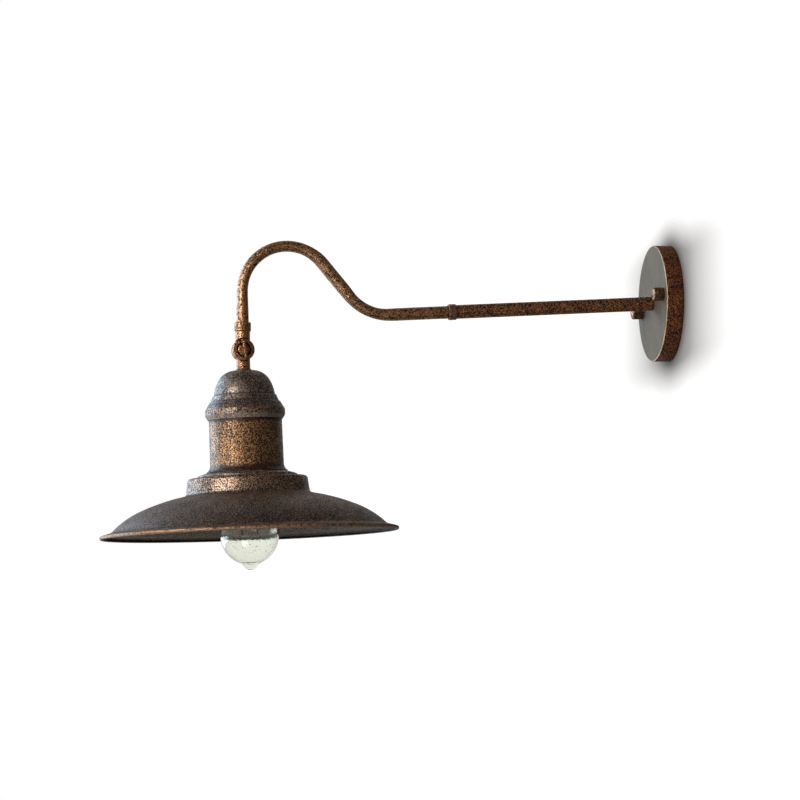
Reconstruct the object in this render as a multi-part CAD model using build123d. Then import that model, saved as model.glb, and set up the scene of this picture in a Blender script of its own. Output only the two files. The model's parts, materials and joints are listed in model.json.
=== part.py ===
from build123d import *
import os
from math import cos, radians, sin, sqrt, tan

# Gooseneck wall sconce, in millimetres. The origin is the centre of the canopy's back face,
# on the wall. +Y points into the wall, +Z up, and the arm runs out along -Y. The swivel of the
# shade turns about X. Depths are measured out from the wall, and drops from the swivel's pivot
# down the shade's axis.

# --- Driving dimensions: wall end -------------------------------------------------------------
CANOPY_DIAMETER = 121.0
CANOPY_DEPTH = 17.6
CANOPY_SHEET = 1.2
CANOPY_EDGE_RADIUS = 1.4
CANOPY_CLOCKING = 6.3            # degrees that the line through the two knobs is off level
STUD_SPACING = 88.9
STUD_DIAMETER = 4.0
STUD_HEAD_DIAMETER = 8.0
STUD_HEAD_HEIGHT = 2.6
STUD_NUT_WIDTH = 7.0             # across flats
STUD_NUT_HEIGHT = 3.2
KNOB_DIAMETER = 14.0
KNOB_LENGTH = 10.3
KNOB_CROWN = 1.6
KNOB_EDGE_RADIUS = 0.9
KNOB_ENGAGEMENT = 7.5            # length of stud inside a knob
CROSSBAR_END = 6.8               # from a stud's axis to the bar's end
CROSSBAR_THICKNESS = 1.5
CROSSBAR_RISE = 4.2              # how far its ends stand off the wall
CROSSBAR_JOG = 3.5               # length of each slope, next to a stud's head
CROSSBAR_EDGE = 2.6              # metal beside a levelling slot
WALL_SCREW_SPACING = 60.0
WALL_SLOT_LENGTH = 12.0
WALL_SLOT_WIDTH = 4.8
LEVELLING_PLAY = 1.5
GROUND_SCREW_OFFSET = 15.0
GROUND_SCREW_DIAMETER = 4.0
GROUND_HEAD_DIAMETER = 7.6
GROUND_HEAD_HEIGHT = 2.4
DRIVER_SLOT_WIDTH = 0.9
DRIVER_SLOT_DEPTH = 0.8
TERMINAL_THICKNESS = 0.8
TERMINAL_TAIL = 3.0              # that grips the wire, beyond the screw's head
CONNECTOR_LENGTH = 19.0
CONNECTOR_MOUTH_DIAMETER = 9.6
CONNECTOR_TIP_DIAMETER = 6.4
CONNECTOR_BORE = 3.2
CONNECTOR_BORE_DEPTH = 12.0
CONNECTOR_OFFSET = 9.5           # sideways from the canopy's centre
CONNECTOR_HEIGHT = 22.0          # from the canopy's centre to a connector's mouth

# --- Driving dimensions: arm ------------------------------------------------------------------
ARM_DROOP = 2.85                 # degrees below square to the wall
ARM_LENGTH = 209.6
ARM_DIAMETER = 14.4
PIPE_DIAMETER = 10.0             # threaded pipe, used at both ends
PIPE_BORE = 6.6
PIPE_NUT_WIDTH = 14.0            # across flats
PIPE_NUT_HEIGHT = 3.0
NIPPLE_LENGTH = 24.0
NIPPLE_IN_ARM = 15.5
BEVEL_WASHER_DIAMETER = 19.0
BEVEL_WASHER_THICKNESS = 1.8
COUPLING_DIAMETER = 16.6
COUPLING_LENGTH = 8.4
COUPLING_SOCKET = 4.4            # depth that takes the gooseneck
COUPLING_SPIGOT = 11.0           # length inside the straight arm
COUPLING_CHAMFER = 0.7
GOOSENECK_DIAMETER = 13.2
GOOSENECK_WALL = 1.0
GOOSENECK_RUN = 61.0             # straight, from the coupling to the S bend
S_BEND_RADIUS = 51.0
CLIMB_ANGLE = 50.5               # degrees above level between the bends
CLIMB_LENGTH = 44.5
ARCH_RADIUS = 46.8
LEG_LENGTH = 41.5                # straight, from the arch down to the ferrule's foot
FERRULE_DIAMETER = 16.9
FERRULE_HEIGHT = 9.2
FERRULE_CHAMFER = 0.6

# --- Driving dimensions: swivel ---------------------------------------------------------------
SHADE_TILT = 1.65                # degrees that the shade's foot leans to the wall
KNUCKLE_DIAMETER = 22.6
KNUCKLE_EDGE_RADIUS = 0.9
KNUCKLE_HALF = 6.9               # thickness of each half
KNUCKLE_NECK_DIAMETER = 14.9
KNUCKLE_NECK_LENGTH = 19.2       # from the ferrule's foot to the pivot
KNUCKLE_SPIGOT = 8.0
KNUCKLE_FLOOR = 2.0              # behind the fixed half's wire chamber
RECESS_FLOOR = 1.2               # between the swinging half's chamber and its screw recess
KNUCKLE_RIM = 2.5                # wall round a wire chamber
KNUCKLE_BOSS_DIAMETER = 7.4
KNUCKLE_WEB = 1.2                # between the other disc's room and a neck's bore
SHOULDER_GAP = 0.9               # from a disc to the other half's shoulder
SHOULDER_GROOVE_DEPTH = 1.8      # under the near disc, from its face
FRICTION_WASHER_THICKNESS = 0.6
FRICTION_WASHER_WIDTH = 2.2
STEM_DIAMETER = 14.0
STEM_DROP = 19.7
STEM_GROOVE_DROP = 17.9
STEM_GROOVE_WIDTH = 0.8
STEM_GROOVE_DEPTH = 0.4
STEM_WASHER_DIAMETER = 15.6
STEM_WASHER_THICKNESS = 1.3
SCREW_DIAMETER = 5.0
SCREW_TIP = 0.6                  # that stands out of the fixed half
SCREW_HEAD_DIAMETER = 12.2
SCREW_HEAD_HEIGHT = 2.0
SCREW_HEAD_EDGE_RADIUS = 1.3
SCREW_RECESS_DIAMETER = 15.0
SCREW_RECESS_DEPTH = 1.4
KEY_HEIGHT = 21.0
KEY_REACH = 8.2
KEY_THICKNESS = 2.3
KEY_CORNER_RADIUS = 3.2
KEY_LEAN = 7.0                   # degrees from upright

# --- Driving dimensions: shade ----------------------------------------------------------------
SHEET = 1.0                      # all spun pieces of the shade
DOME_CROWN_RADIUS = 11.5
DOME_CROWN_SLOPE = 7.0           # degrees
DOME_SHOULDER_RADIUS = 26.3
DOME_SHOULDER_DROP = 10.0        # these drops are below the dome's top
DOME_SIDE_RADIUS = 31.0
DOME_SIDE_DROP = 23.5
DOME_STEPS = ((32.5, 25.7), (36.1, 32.3))    # radius and drop of the foot of each step line
DOME_STEP_WIDTH = 1.2
DOME_CONE_FOOT_DROP = 36.0
DOME_BEAD_RADIUS = 40.8
DOME_BEAD_TOP_DROP = 40.2
DOME_BEAD_FOOT_DROP = 46.2
DOME_BEAD_FILLET = 1.5
DOME_HEM_DROP = 50.4
DOME_OVERHANG = 1.2              # of the cone's foot past the neck
NECK_TOP_RECESS = 1.5            # of the neck's top below the cone's foot
NECK_TOP_RADIUS = 37.1
NECK_FOOT_RADIUS = 37.7
NECK_FLARE_RADIUS = 41.6
NECK_FLARE_HEIGHT = 8.0
NECK_FOOT_BELOW_DOME = 104.3     # from the dome's top to the neck's foot
FLANGE_RADIUS = 50.9
FLANGE_HEIGHT = 4.9
FLANGE_EDGE_HEIGHT = 2.3
FLANGE_LAND_RADIUS = 42.6
FLANGE_OPENING_RADIUS = 33.0
FLANGE_FILLET = 1.1
STEP_RADIUS = 61.0
STEP_FOOT_RADIUS = 63.3
STEP_HEIGHT = 17.2
STEP_EDGE_RADIUS = 3.2
STEP_COVE_RADIUS = 3.0
SHADE_DIAMETER = 305.0
BOWL_START_RUN = 4.7             # of the cove, out from the step's foot
BOWL_START_DIP = 1.1             # of the cove, down from the step's foot
BOWL_START_SLOPE = 11.0          # degrees
BOWL_MID_RADIUS = 111.5
BOWL_MID_DROP = 31.9             # these drops are below the step's top
LIP_WIDTH = 12.0
LIP_ROOT_DROP = 51.8
LIP_ROOT_FILLET = 2.0
LIP_SLOPE = 15.5                 # degrees
LIP_ROLL_RADIUS = 2.0
LIP_ROLL_TURN = 215.0            # degrees that the rim is rolled under

# --- Driving dimensions: socket ---------------------------------------------------------------
HEAD_PIPE_LENGTH = 75.0
HEAD_PIPE_IN_STEM = 4.0
DOME_WASHER_DIAMETER = 20.0
DOME_WASHER_THICKNESS = 1.2
SOCKET_CAP_DIAMETER = 40.0
SOCKET_CAP_LENGTH = 14.0
SOCKET_CAP_WALL = 2.2
SOCKET_HUB_DIAMETER = 17.0
PIPE_IN_SOCKET = 5.0
SOCKET_BODY_DIAMETER = 39.0
SOCKET_BODY_LENGTH = 40.0
SOCKET_BODY_WALL = 3.5           # round the terminals
SOCKET_TERMINAL_ROOM = 7.5       # from the body's top to its floor
SOCKET_FLOOR = 4.0
SOCKET_BORE = 27.9
SHELL_THICKNESS = 0.5
SHELL_LENGTH = 24.0
SHELL_TAB_RADIUS = 9.0
TONGUE_WIDTH = 6.0
TONGUE_THICKNESS = 0.6
TONGUE_OVERHANG = 4.5            # past the socket's axis
TERMINAL_SCREW_DIAMETER = 3.0
TERMINAL_HEAD_DIAMETER = 5.6
TERMINAL_HEAD_HEIGHT = 1.6
TERMINAL_SCREW_OFFSET = 10.5
SHADE_RING_DIAMETER = 55.0
UPPER_RING_HEIGHT = 2.8
LOWER_RING_HEIGHT = 5.0

# --- Driving dimensions: bulb -----------------------------------------------------------------
BULB_LENGTH = 112.0
BULB_DIAMETER = 59.8
BULB_CENTRE_FROM_TIP = 34.9      # from the drawn tip up to the widest circle
BULB_TIP_RADIUS = 3.6
BULB_TIP_LENGTH = 4.8
BULB_TIP_WAIST_RADIUS = 7.8
BULB_TIP_ROOT_RADIUS = 10.5
BULB_TIP_FILLET = 3.6
BULB_TIP_WAIST_FILLET = 2.5
BULB_SHOULDER_ANGLE = 32.0       # degrees from the widest circle up to the shoulder
BULB_NECK_RADIUS = 13.4
BULB_NECK_FILLET = 20.0
BULB_THROAT_RADIUS = 12.3
BULB_THROAT_LENGTH = 7.0         # of glass inside the metal cap
BULB_THROAT_FILLET = 0.27
BULB_CAP_DIAMETER = 25.9
BULB_CAP_LENGTH = 22.5
BULB_CAP_SHEET = 0.4
BULB_INSULATOR_HEIGHT = 2.8
BULB_INSULATOR_DIAMETER = 13.0
BULB_CONTACT_DIAMETER = 9.0
BULB_CONTACT_HEIGHT = 1.0
GLASS_THICKNESS = 0.9
MOUNT_RADIUS = 3.6
MOUNT_LENGTH = 27.0
MOUNT_FLARE_LENGTH = 8.0
ROD_RADIUS = 1.1
ROD_LENGTH = 34.0
CAGE_INSET = 2.0                 # from the rod's ends to the two rings of anchors
CAGE_TOP_RADIUS = 7.0
CAGE_FOOT_RADIUS = 11.0
CAGE_ANCHORS = 4                 # in each ring
SUPPORT_RADIUS = 0.3
FILAMENT_RADIUS = 0.25

# --- Driving dimensions: wiring ---------------------------------------------------------------
WIRE_RADIUS = 0.9
WIRE_SPREAD = 1.1                # each wire's offset from the middle of the pair
HEAD_WIRE_SHIFT = 1.2            # of the pair inside the shade's pipe
WIRE_BEND_RADIUS = 4.5
NIPPLE_BEND_RADIUS = 3.6         # of the wires behind the nipple
WIRE_SWAY_RADIUS = 2.0
CANOPY_WIRE_DEPTH = 4.4          # from the wall to the wires behind the nipple
CONNECTOR_DEPTH = 6.6            # from the wall to the connectors' centre
WIRE_ENTRY = 5.5                 # from the pivot to the wire ends in the knuckle
WIRE_SWAY_START = 18.0           # from the pivot to where the wires shift sideways
WIRE_SWAY_LENGTH = 4.6
WIRE_FAN_DROP = 6.0              # from the socket cap's top to where the wires part

# --- Clearances -------------------------------------------------------------------------------
MOVING_GAP = 0.3                 # between faces that move past each other
RUNNING_CLEARANCE = 0.05         # radial, a shaft in its hole
THREAD_CLEARANCE = 0.05          # radial, a screw in its thread
HOLE_CLEARANCE = 0.3             # radial, a pipe or screw in a sheet hole
WIRE_GAP = 0.1
SEAT_GAP = 0.1                   # between pieces of one body that are clamped together
POINT_TOLERANCE = 0.01           # when picking corners by their place

# --- Derived places ---------------------------------------------------------------------------
CANOPY_RADIUS = CANOPY_DIAMETER / 2
PIPE_RADIUS = PIPE_DIAMETER / 2
PIPE_THREAD_RADIUS = PIPE_RADIUS + THREAD_CLEARANCE
GOOSENECK_RADIUS = GOOSENECK_DIAMETER / 2
KNUCKLE_RADIUS = KNUCKLE_DIAMETER / 2
STUD_X = STUD_SPACING / 2 * cos(radians(CANOPY_CLOCKING))
STUD_Z = STUD_SPACING / 2 * sin(radians(CANOPY_CLOCKING))
KNOB_FOOT = CANOPY_DEPTH + MOVING_GAP

WASHER_FACE = FRICTION_WASHER_THICKNESS / 2
SWING_FACE = WASHER_FACE + MOVING_GAP
SWING_OUTSIDE = SWING_FACE + KNUCKLE_HALF
FIXED_OUTSIDE = WASHER_FACE + KNUCKLE_HALF
RECESS_FACE = SWING_OUTSIDE - SCREW_RECESS_DEPTH
CHAMBER_RADIUS = KNUCKLE_RADIUS - KNUCKLE_RIM
PASSAGE_RADIUS = WIRE_SPREAD + WIRE_RADIUS + WIRE_GAP
FIXED_PASSAGE = WASHER_FACE + WIRE_GAP + PASSAGE_RADIUS
SWING_PASSAGE = SWING_FACE + WIRE_GAP + PASSAGE_RADIUS
NECK_BORE_FOOT = KNUCKLE_RADIUS + SHOULDER_GAP + KNUCKLE_WEB

DOME_TOP = STEM_DROP + STEM_WASHER_THICKNESS
DOME_INSIDE = DOME_TOP + SHEET
DOME_CONE_FOOT_RADIUS = NECK_TOP_RADIUS + DOME_OVERHANG
DOME_HEM_RADIUS = NECK_TOP_RADIUS + SHEET
NECK_TOP = DOME_TOP + DOME_CONE_FOOT_DROP + NECK_TOP_RECESS
NECK_FOOT = DOME_TOP + NECK_FOOT_BELOW_DOME
STEP_TOP = NECK_FOOT + FLANGE_HEIGHT
BOWL_START_RADIUS = STEP_FOOT_RADIUS + BOWL_START_RUN
BOWL_START_DROP = STEP_HEIGHT + BOWL_START_DIP
PIPE_TOP = STEM_DROP - HEAD_PIPE_IN_STEM
PIPE_FOOT = PIPE_TOP + HEAD_PIPE_LENGTH
SOCKET_CAP_TOP = PIPE_FOOT - PIPE_IN_SOCKET
SOCKET_BODY_TOP = SOCKET_CAP_TOP + SOCKET_CAP_LENGTH
SOCKET_FLOOR_TOP = SOCKET_BODY_TOP + SOCKET_TERMINAL_ROOM
SOCKET_FLOOR_FOOT = SOCKET_FLOOR_TOP + SOCKET_FLOOR
TONGUE_FOOT = SOCKET_FLOOR_FOOT + TONGUE_THICKNESS
BULB_TOP = TONGUE_FOOT + MOVING_GAP
BULB_CAP_TOP = BULB_TOP + BULB_CONTACT_HEIGHT + BULB_INSULATOR_HEIGHT
BULB_CAP_FOOT = BULB_CAP_TOP + BULB_CAP_LENGTH
BULB_TIP = BULB_TOP + BULB_LENGTH
BULB_CENTRE = BULB_TIP - BULB_CENTRE_FROM_TIP
THROAT_TOP = BULB_CAP_FOOT - BULB_THROAT_LENGTH
MOUNT_FOOT = THROAT_TOP + MOUNT_LENGTH
TERMINAL_HEAD_FOOT = SOCKET_FLOOR_TOP - 2 * WIRE_RADIUS

# --- Frames -----------------------------------------------------------------------------------
FROM_WALL = Rot(X=90)            # local Z runs out from the wall, local Y is up
ALONG_ARM = Pos(0, -CANOPY_DEPTH, 0) * Rot(X=90 + ARM_DROOP)
ARM_HEADING = Vector(-cos(radians(ARM_DROOP)), -sin(radians(ARM_DROOP)))


def gooseneck_line(x=0.0):
    """Centre line of the bent tube in the plane X = x, from the coupling to the ferrule's foot."""
    socket_floor = ARM_LENGTH + COUPLING_LENGTH - COUPLING_SOCKET
    start = Vector(-CANOPY_DEPTH, 0) + ARM_HEADING * socket_floor
    run = Line(start, start + ARM_HEADING * (GOOSENECK_RUN + COUPLING_SOCKET))
    s_bend = JernArc(run @ 1, run % 1, S_BEND_RADIUS, -(CLIMB_ANGLE + ARM_DROOP))
    climb = Line(s_bend @ 1, s_bend @ 1 + (s_bend % 1) * CLIMB_LENGTH)
    arch = JernArc(climb @ 1, climb % 1, ARCH_RADIUS, 90 + CLIMB_ANGLE)
    leg = Line(arch @ 1, arch @ 1 - Vector(0, LEG_LENGTH))
    return [Plane.YZ.offset(x) * piece for piece in (run, s_bend, climb, arch, leg)]


FERRULE_FOOT = gooseneck_line()[-1] @ 1
ON_LEG = Pos(0, FERRULE_FOOT.Y, FERRULE_FOOT.Z - KNUCKLE_NECK_LENGTH)
ON_SHADE = ON_LEG * Rot(X=SHADE_TILT)


# --- Helpers ----------------------------------------------------------------------------------
ON_FOOT = (Align.CENTER, Align.CENTER, Align.MIN)


def rod(radius, length, height=0.0):
    """Cylinder on the Z axis that stands on the given height."""
    return Pos(0, 0, height) * Cylinder(radius, length, align=ON_FOOT)


def ring(outer, inner, length, height=0.0):
    """Round tube on the Z axis that stands on the given height."""
    return rod(outer, length, height) - rod(inner, length, height)


def cross_rod(radius, start, end):
    """Cylinder on the X axis between two places."""
    return Pos(start, 0, 0) * Rot(Y=90) * rod(radius, end - start)


def hex_nut(width, bore_radius, length, height=0.0):
    """Hexagonal nut on the Z axis, with its size across flats."""
    prism = Pos(0, 0, height) * extrude(RegularPolygon(width / 2, 6, major_radius=False), length)
    return prism - rod(bore_radius, length, height)


def upright_cone(foot_radius, top_radius, length, height=0.0):
    """Cone on the Z axis that stands on the given height."""
    return Pos(0, 0, height) * Cone(foot_radius, top_radius, length, align=ON_FOOT)


def edges_of(pieces):
    """Edges of several lines that follow each other."""
    return [edge for piece in pieces for edge in piece.edges()]


def turned(*outline):
    """Revolve a closed outline of (radius, height) about the Z axis."""
    return revolve(Plane.XZ * make_face(edges_of(outline)), Axis.Z)


def spun(*outline, thickness=SHEET, inside=Side.RIGHT):
    """Sheet turned about the Z axis from its outer line, with the metal on the inside."""
    section = offset(Wire(edges_of(outline)), amount=thickness, side=inside)
    return revolve(Plane.XZ * make_face(section.edges()), Axis.Z)


def tube_along(route, radius=WIRE_RADIUS):
    """Round bar along a route of straight runs and tangent arcs."""
    path = Wire(edges_of(route))
    section = Plane(origin=path @ 0, z_dir=path % 0) * Circle(radius)
    return sweep(section, path=path)


def group(solids):
    """Separate solids in one node."""
    return Compound(children=list(solids))


# --- Wall end ---------------------------------------------------------------------------------
def canopy():
    """Round drawn cover, open at the wall, with a centre hole and two knob holes."""
    outline = FilletPolyline(
        (PIPE_RADIUS + HOLE_CLEARANCE, CANOPY_DEPTH),
        (CANOPY_RADIUS, CANOPY_DEPTH),
        (CANOPY_RADIUS, 0),
        radius=CANOPY_EDGE_RADIUS,
    )
    shell = spun(outline, thickness=CANOPY_SHEET)
    hole = rod(STUD_DIAMETER / 2 + HOLE_CLEARANCE, CANOPY_DEPTH)
    for side in (1, -1):
        shell -= Pos(side * STUD_X, side * STUD_Z, 0) * hole
    return FROM_WALL * shell


def crossbar():
    """Flat bar with raised ends, wall screw slots, levelling slots and a wire hole."""
    jog_end = STUD_X - STUD_HEAD_DIAMETER / 2 - HOLE_CLEARANCE
    flat_end = jog_end - CROSSBAR_JOG
    half = STUD_X + CROSSBAR_END
    spine = Polyline(
        (-half, CROSSBAR_RISE),
        (-jog_end, CROSSBAR_RISE),
        (-flat_end, 0),
        (flat_end, 0),
        (jog_end, CROSSBAR_RISE),
        (half, CROSSBAR_RISE),
    )
    strip = offset(spine, amount=CROSSBAR_THICKNESS, side=Side.LEFT, kind=Kind.INTERSECTION)
    slot_width = STUD_DIAMETER + 2 * HOLE_CLEARANCE
    slot_length = 2 * STUD_Z + slot_width + 2 * LEVELLING_PLAY
    half_width = slot_length / 2 + CROSSBAR_EDGE
    bar = extrude(Plane.XZ * make_face(strip.edges()), half_width, both=True)
    reach = CROSSBAR_RISE + CROSSBAR_THICKNESS
    wall_slot = extrude(SlotOverall(WALL_SLOT_LENGTH, WALL_SLOT_WIDTH), reach)
    levelling_slot = extrude(SlotOverall(slot_length, slot_width, rotation=90), reach)
    for side in (1, -1):
        bar -= Pos(side * WALL_SCREW_SPACING / 2, 0, 0) * wall_slot
        bar -= Pos(side * STUD_X, 0, 0) * levelling_slot
    bar -= rod(PIPE_RADIUS + HOLE_CLEARANCE, reach)
    bar -= Pos(GROUND_SCREW_OFFSET, 0, 0) * rod(GROUND_SCREW_DIAMETER / 2 + THREAD_CLEARANCE, reach)
    return FROM_WALL * bar


def on_stud(side, piece):
    """Place a fastener on one of the two stud axes."""
    return FROM_WALL * Pos(side * STUD_X, side * STUD_Z, 0) * piece


def mounting_studs():
    """Two pan head screws through the bar's raised ends, into the knobs."""
    stud = rod(STUD_DIAMETER / 2, KNOB_FOOT + KNOB_ENGAGEMENT - CROSSBAR_RISE, CROSSBAR_RISE)
    stud += rod(STUD_HEAD_DIAMETER / 2, STUD_HEAD_HEIGHT, CROSSBAR_RISE - STUD_HEAD_HEIGHT)
    return group(on_stud(side, stud) for side in (1, -1))


def stud_nuts():
    """Two nuts that lock the studs to the bar."""
    bar_front = CROSSBAR_RISE + CROSSBAR_THICKNESS
    nut = hex_nut(STUD_NUT_WIDTH, STUD_DIAMETER / 2 + THREAD_CLEARANCE, STUD_NUT_HEIGHT, bar_front)
    return group(on_stud(side, nut) for side in (1, -1))


def canopy_knob(side):
    """Cap nut with a crowned face on one stud."""
    radius = KNOB_DIAMETER / 2
    knob = fillet(rod(radius, KNOB_LENGTH, KNOB_FOOT).edges().sort_by(Axis.Z)[-1], KNOB_EDGE_RADIUS)
    face = KNOB_FOOT + KNOB_LENGTH
    face_radius = radius - KNOB_EDGE_RADIUS
    crown = TangentArc((0, face + KNOB_CROWN), (face_radius, face), tangent=(1, 0))
    foot = Line((face_radius, face), (0, face))
    knob += turned(crown, foot, Line((0, face), (0, face + KNOB_CROWN)))
    knob -= rod(STUD_DIAMETER / 2 + RUNNING_CLEARANCE, KNOB_ENGAGEMENT + MOVING_GAP, KNOB_FOOT)
    return on_stud(side, knob)


def canopy_nipple():
    """Threaded pipe that joins the canopy to the arm."""
    return ALONG_ARM * ring(PIPE_RADIUS, PIPE_BORE / 2, NIPPLE_LENGTH, NIPPLE_IN_ARM - NIPPLE_LENGTH)


def wall_block(depth):
    """Everything within a depth of the wall, wider than the canopy."""
    size = 2 * CANOPY_DIAMETER
    return Box(size, depth, size, align=(Align.CENTER, Align.MAX, Align.CENTER))


def bevel_washer():
    """Tapered washer: square to the arm on one face, flat against the canopy on the other."""
    thickest = BEVEL_WASHER_THICKNESS + CANOPY_SHEET
    blank = ring(BEVEL_WASHER_DIAMETER / 2, PIPE_THREAD_RADIUS, thickest, -thickest)
    return ALONG_ARM * blank & wall_block(CANOPY_DEPTH - CANOPY_SHEET)


def arm_locknut():
    """Nut on the nipple, against the tapered washer."""
    foot = -(CANOPY_SHEET + BEVEL_WASHER_THICKNESS + PIPE_NUT_HEIGHT)
    return ALONG_ARM * hex_nut(PIPE_NUT_WIDTH, PIPE_THREAD_RADIUS, PIPE_NUT_HEIGHT, foot)


def slotted(screw, head_diameter, face):
    """Cut a driver slot into a screw's head, whose face is at the given height."""
    return screw - Pos(0, 0, face) * Box(head_diameter, DRIVER_SLOT_WIDTH, 2 * DRIVER_SLOT_DEPTH)


def ground_screw():
    """Screw that holds the ground lead to the bar."""
    head_foot = CROSSBAR_THICKNESS + TERMINAL_THICKNESS
    screw = rod(GROUND_SCREW_DIAMETER / 2, head_foot)
    screw += rod(GROUND_HEAD_DIAMETER / 2, GROUND_HEAD_HEIGHT, head_foot)
    screw = slotted(screw, GROUND_HEAD_DIAMETER, head_foot + GROUND_HEAD_HEIGHT)
    return FROM_WALL * Pos(GROUND_SCREW_OFFSET, 0, 0) * screw


def ground_lead():
    """Ring terminal under the ground screw and its wire down to a connector."""
    lug_radius = GROUND_HEAD_DIAMETER / 2
    lug = ring(lug_radius, GROUND_SCREW_DIAMETER / 2 + THREAD_CLEARANCE, TERMINAL_THICKNESS)
    wire_top = -lug_radius - WIRE_GAP
    tail_align = (Align.CENTER, Align.MAX, Align.MIN)
    tail = Box(2 * WIRE_RADIUS, TERMINAL_TAIL, TERMINAL_THICKNESS, align=tail_align)
    lug += Pos(0, WIRE_RADIUS - lug_radius, 0) * tail
    lug = FROM_WALL * Pos(GROUND_SCREW_OFFSET, 0, CROSSBAR_THICKNESS) * lug
    wire_depth = CROSSBAR_THICKNESS + WIRE_RADIUS
    route = FilletPolyline(
        (GROUND_SCREW_OFFSET, -wire_depth, wire_top),
        (GROUND_SCREW_OFFSET, -wire_depth, wire_top - WIRE_BEND_RADIUS),
        (CONNECTOR_OFFSET, -CONNECTOR_DEPTH, WIRE_BEND_RADIUS - CONNECTOR_HEIGHT),
        (CONNECTOR_OFFSET, -CONNECTOR_DEPTH, -CONNECTOR_HEIGHT - CONNECTOR_BORE_DEPTH),
        radius=WIRE_BEND_RADIUS,
    )
    return lug + tube_along([route])


def wire_connectors():
    """Three twist-on connectors inside the canopy."""
    mouth = CONNECTOR_MOUTH_DIAMETER / 2
    tip = CONNECTOR_TIP_DIAMETER / 2
    cone = upright_cone(mouth, tip, CONNECTOR_LENGTH)
    cone -= rod(CONNECTOR_BORE / 2, CONNECTOR_BORE_DEPTH)
    places = (
        Pos(-CONNECTOR_OFFSET, -CONNECTOR_DEPTH, CONNECTOR_HEIGHT),
        Pos(CONNECTOR_OFFSET, -CONNECTOR_DEPTH, CONNECTOR_HEIGHT),
        Pos(CONNECTOR_OFFSET, -CONNECTOR_DEPTH, -CONNECTOR_HEIGHT) * Rot(X=180),
    )
    return group(place * cone for place in places)


# --- Arm --------------------------------------------------------------------------------------
def straight_arm():
    """Straight tube, mitred to the canopy's face."""
    mitre = ARM_DIAMETER * tan(radians(ARM_DROOP))
    tube = ring(ARM_DIAMETER / 2, PIPE_THREAD_RADIUS, ARM_LENGTH + mitre, -mitre)
    return ALONG_ARM * tube - wall_block(CANOPY_DEPTH)


def arm_coupling():
    """Turned collar: a spigot in the straight arm and a socket for the gooseneck."""
    collar = rod(COUPLING_DIAMETER / 2, COUPLING_LENGTH)
    collar = chamfer(collar.edges().filter_by(GeomType.CIRCLE), COUPLING_CHAMFER)
    collar += rod(PIPE_RADIUS, COUPLING_SPIGOT, -COUPLING_SPIGOT)
    collar -= rod(PIPE_BORE / 2, COUPLING_SPIGOT + COUPLING_LENGTH, -COUPLING_SPIGOT)
    socket_floor = COUPLING_LENGTH - COUPLING_SOCKET
    collar -= rod(GOOSENECK_RADIUS + THREAD_CLEARANCE, COUPLING_SOCKET, socket_floor)
    return ALONG_ARM * Pos(0, 0, ARM_LENGTH) * collar


def gooseneck():
    """Bent tube from the coupling to the ferrule's foot."""
    line = gooseneck_line()
    return tube_along(line, GOOSENECK_RADIUS) - tube_along(line, GOOSENECK_RADIUS - GOOSENECK_WALL)


def end_ferrule():
    """Ring round the gooseneck's lower end."""
    body = rod(FERRULE_DIAMETER / 2, FERRULE_HEIGHT, KNUCKLE_NECK_LENGTH)
    body = chamfer(body.edges().filter_by(GeomType.CIRCLE), FERRULE_CHAMFER)
    bore = rod(GOOSENECK_RADIUS + THREAD_CLEARANCE, FERRULE_HEIGHT, KNUCKLE_NECK_LENGTH)
    return ON_LEG * (body - bore)


# --- Swivel -----------------------------------------------------------------------------------
def chamber(start, end):
    """Ring-shaped room for the wires round the screw's boss."""
    return cross_rod(CHAMBER_RADIUS, start, end) - cross_rod(KNUCKLE_BOSS_DIAMETER / 2, start, end)


def passage(x, far_end):
    """Hole for the pair of wires, from a chamber along the Z axis."""
    start = CHAMBER_RADIUS - PASSAGE_RADIUS / 2
    return Pos(x, 0, 0) * rod(PASSAGE_RADIUS, far_end - start, start)


def disc(face, outside):
    """Knuckle disc between its inner face and its outside, with the outer edge rounded."""
    plate = cross_rod(KNUCKLE_RADIUS, min(face, outside), max(face, outside))
    rim = plate.edges().filter_by(GeomType.CIRCLE).filter_by_position(
        Axis.X, outside - POINT_TOLERANCE, outside + POINT_TOLERANCE
    )
    return fillet(rim, KNUCKLE_EDGE_RADIUS)


def upper_knuckle():
    """Fixed half: spigot, neck and the far disc, tapped for the thumb screw."""
    spigot_top = KNUCKLE_NECK_LENGTH + KNUCKLE_SPIGOT
    half = rod(KNUCKLE_NECK_DIAMETER / 2, KNUCKLE_NECK_LENGTH)
    half -= cross_rod(KNUCKLE_RADIUS + SHOULDER_GAP, -WASHER_FACE, KNUCKLE_DIAMETER)
    half += disc(-WASHER_FACE, -FIXED_OUTSIDE)
    spigot_radius = GOOSENECK_RADIUS - GOOSENECK_WALL - THREAD_CLEARANCE
    half += rod(spigot_radius, KNUCKLE_SPIGOT, KNUCKLE_NECK_LENGTH)
    half -= rod(PIPE_BORE / 2, spigot_top - NECK_BORE_FOOT, NECK_BORE_FOOT)
    half -= chamber(KNUCKLE_FLOOR - FIXED_OUTSIDE, -WASHER_FACE)
    half -= passage(-FIXED_PASSAGE, KNUCKLE_NECK_LENGTH - WIRE_GAP)
    half -= cross_rod(SCREW_DIAMETER / 2 + RUNNING_CLEARANCE, -KNUCKLE_DIAMETER, -WASHER_FACE)
    return ON_LEG * half


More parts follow.
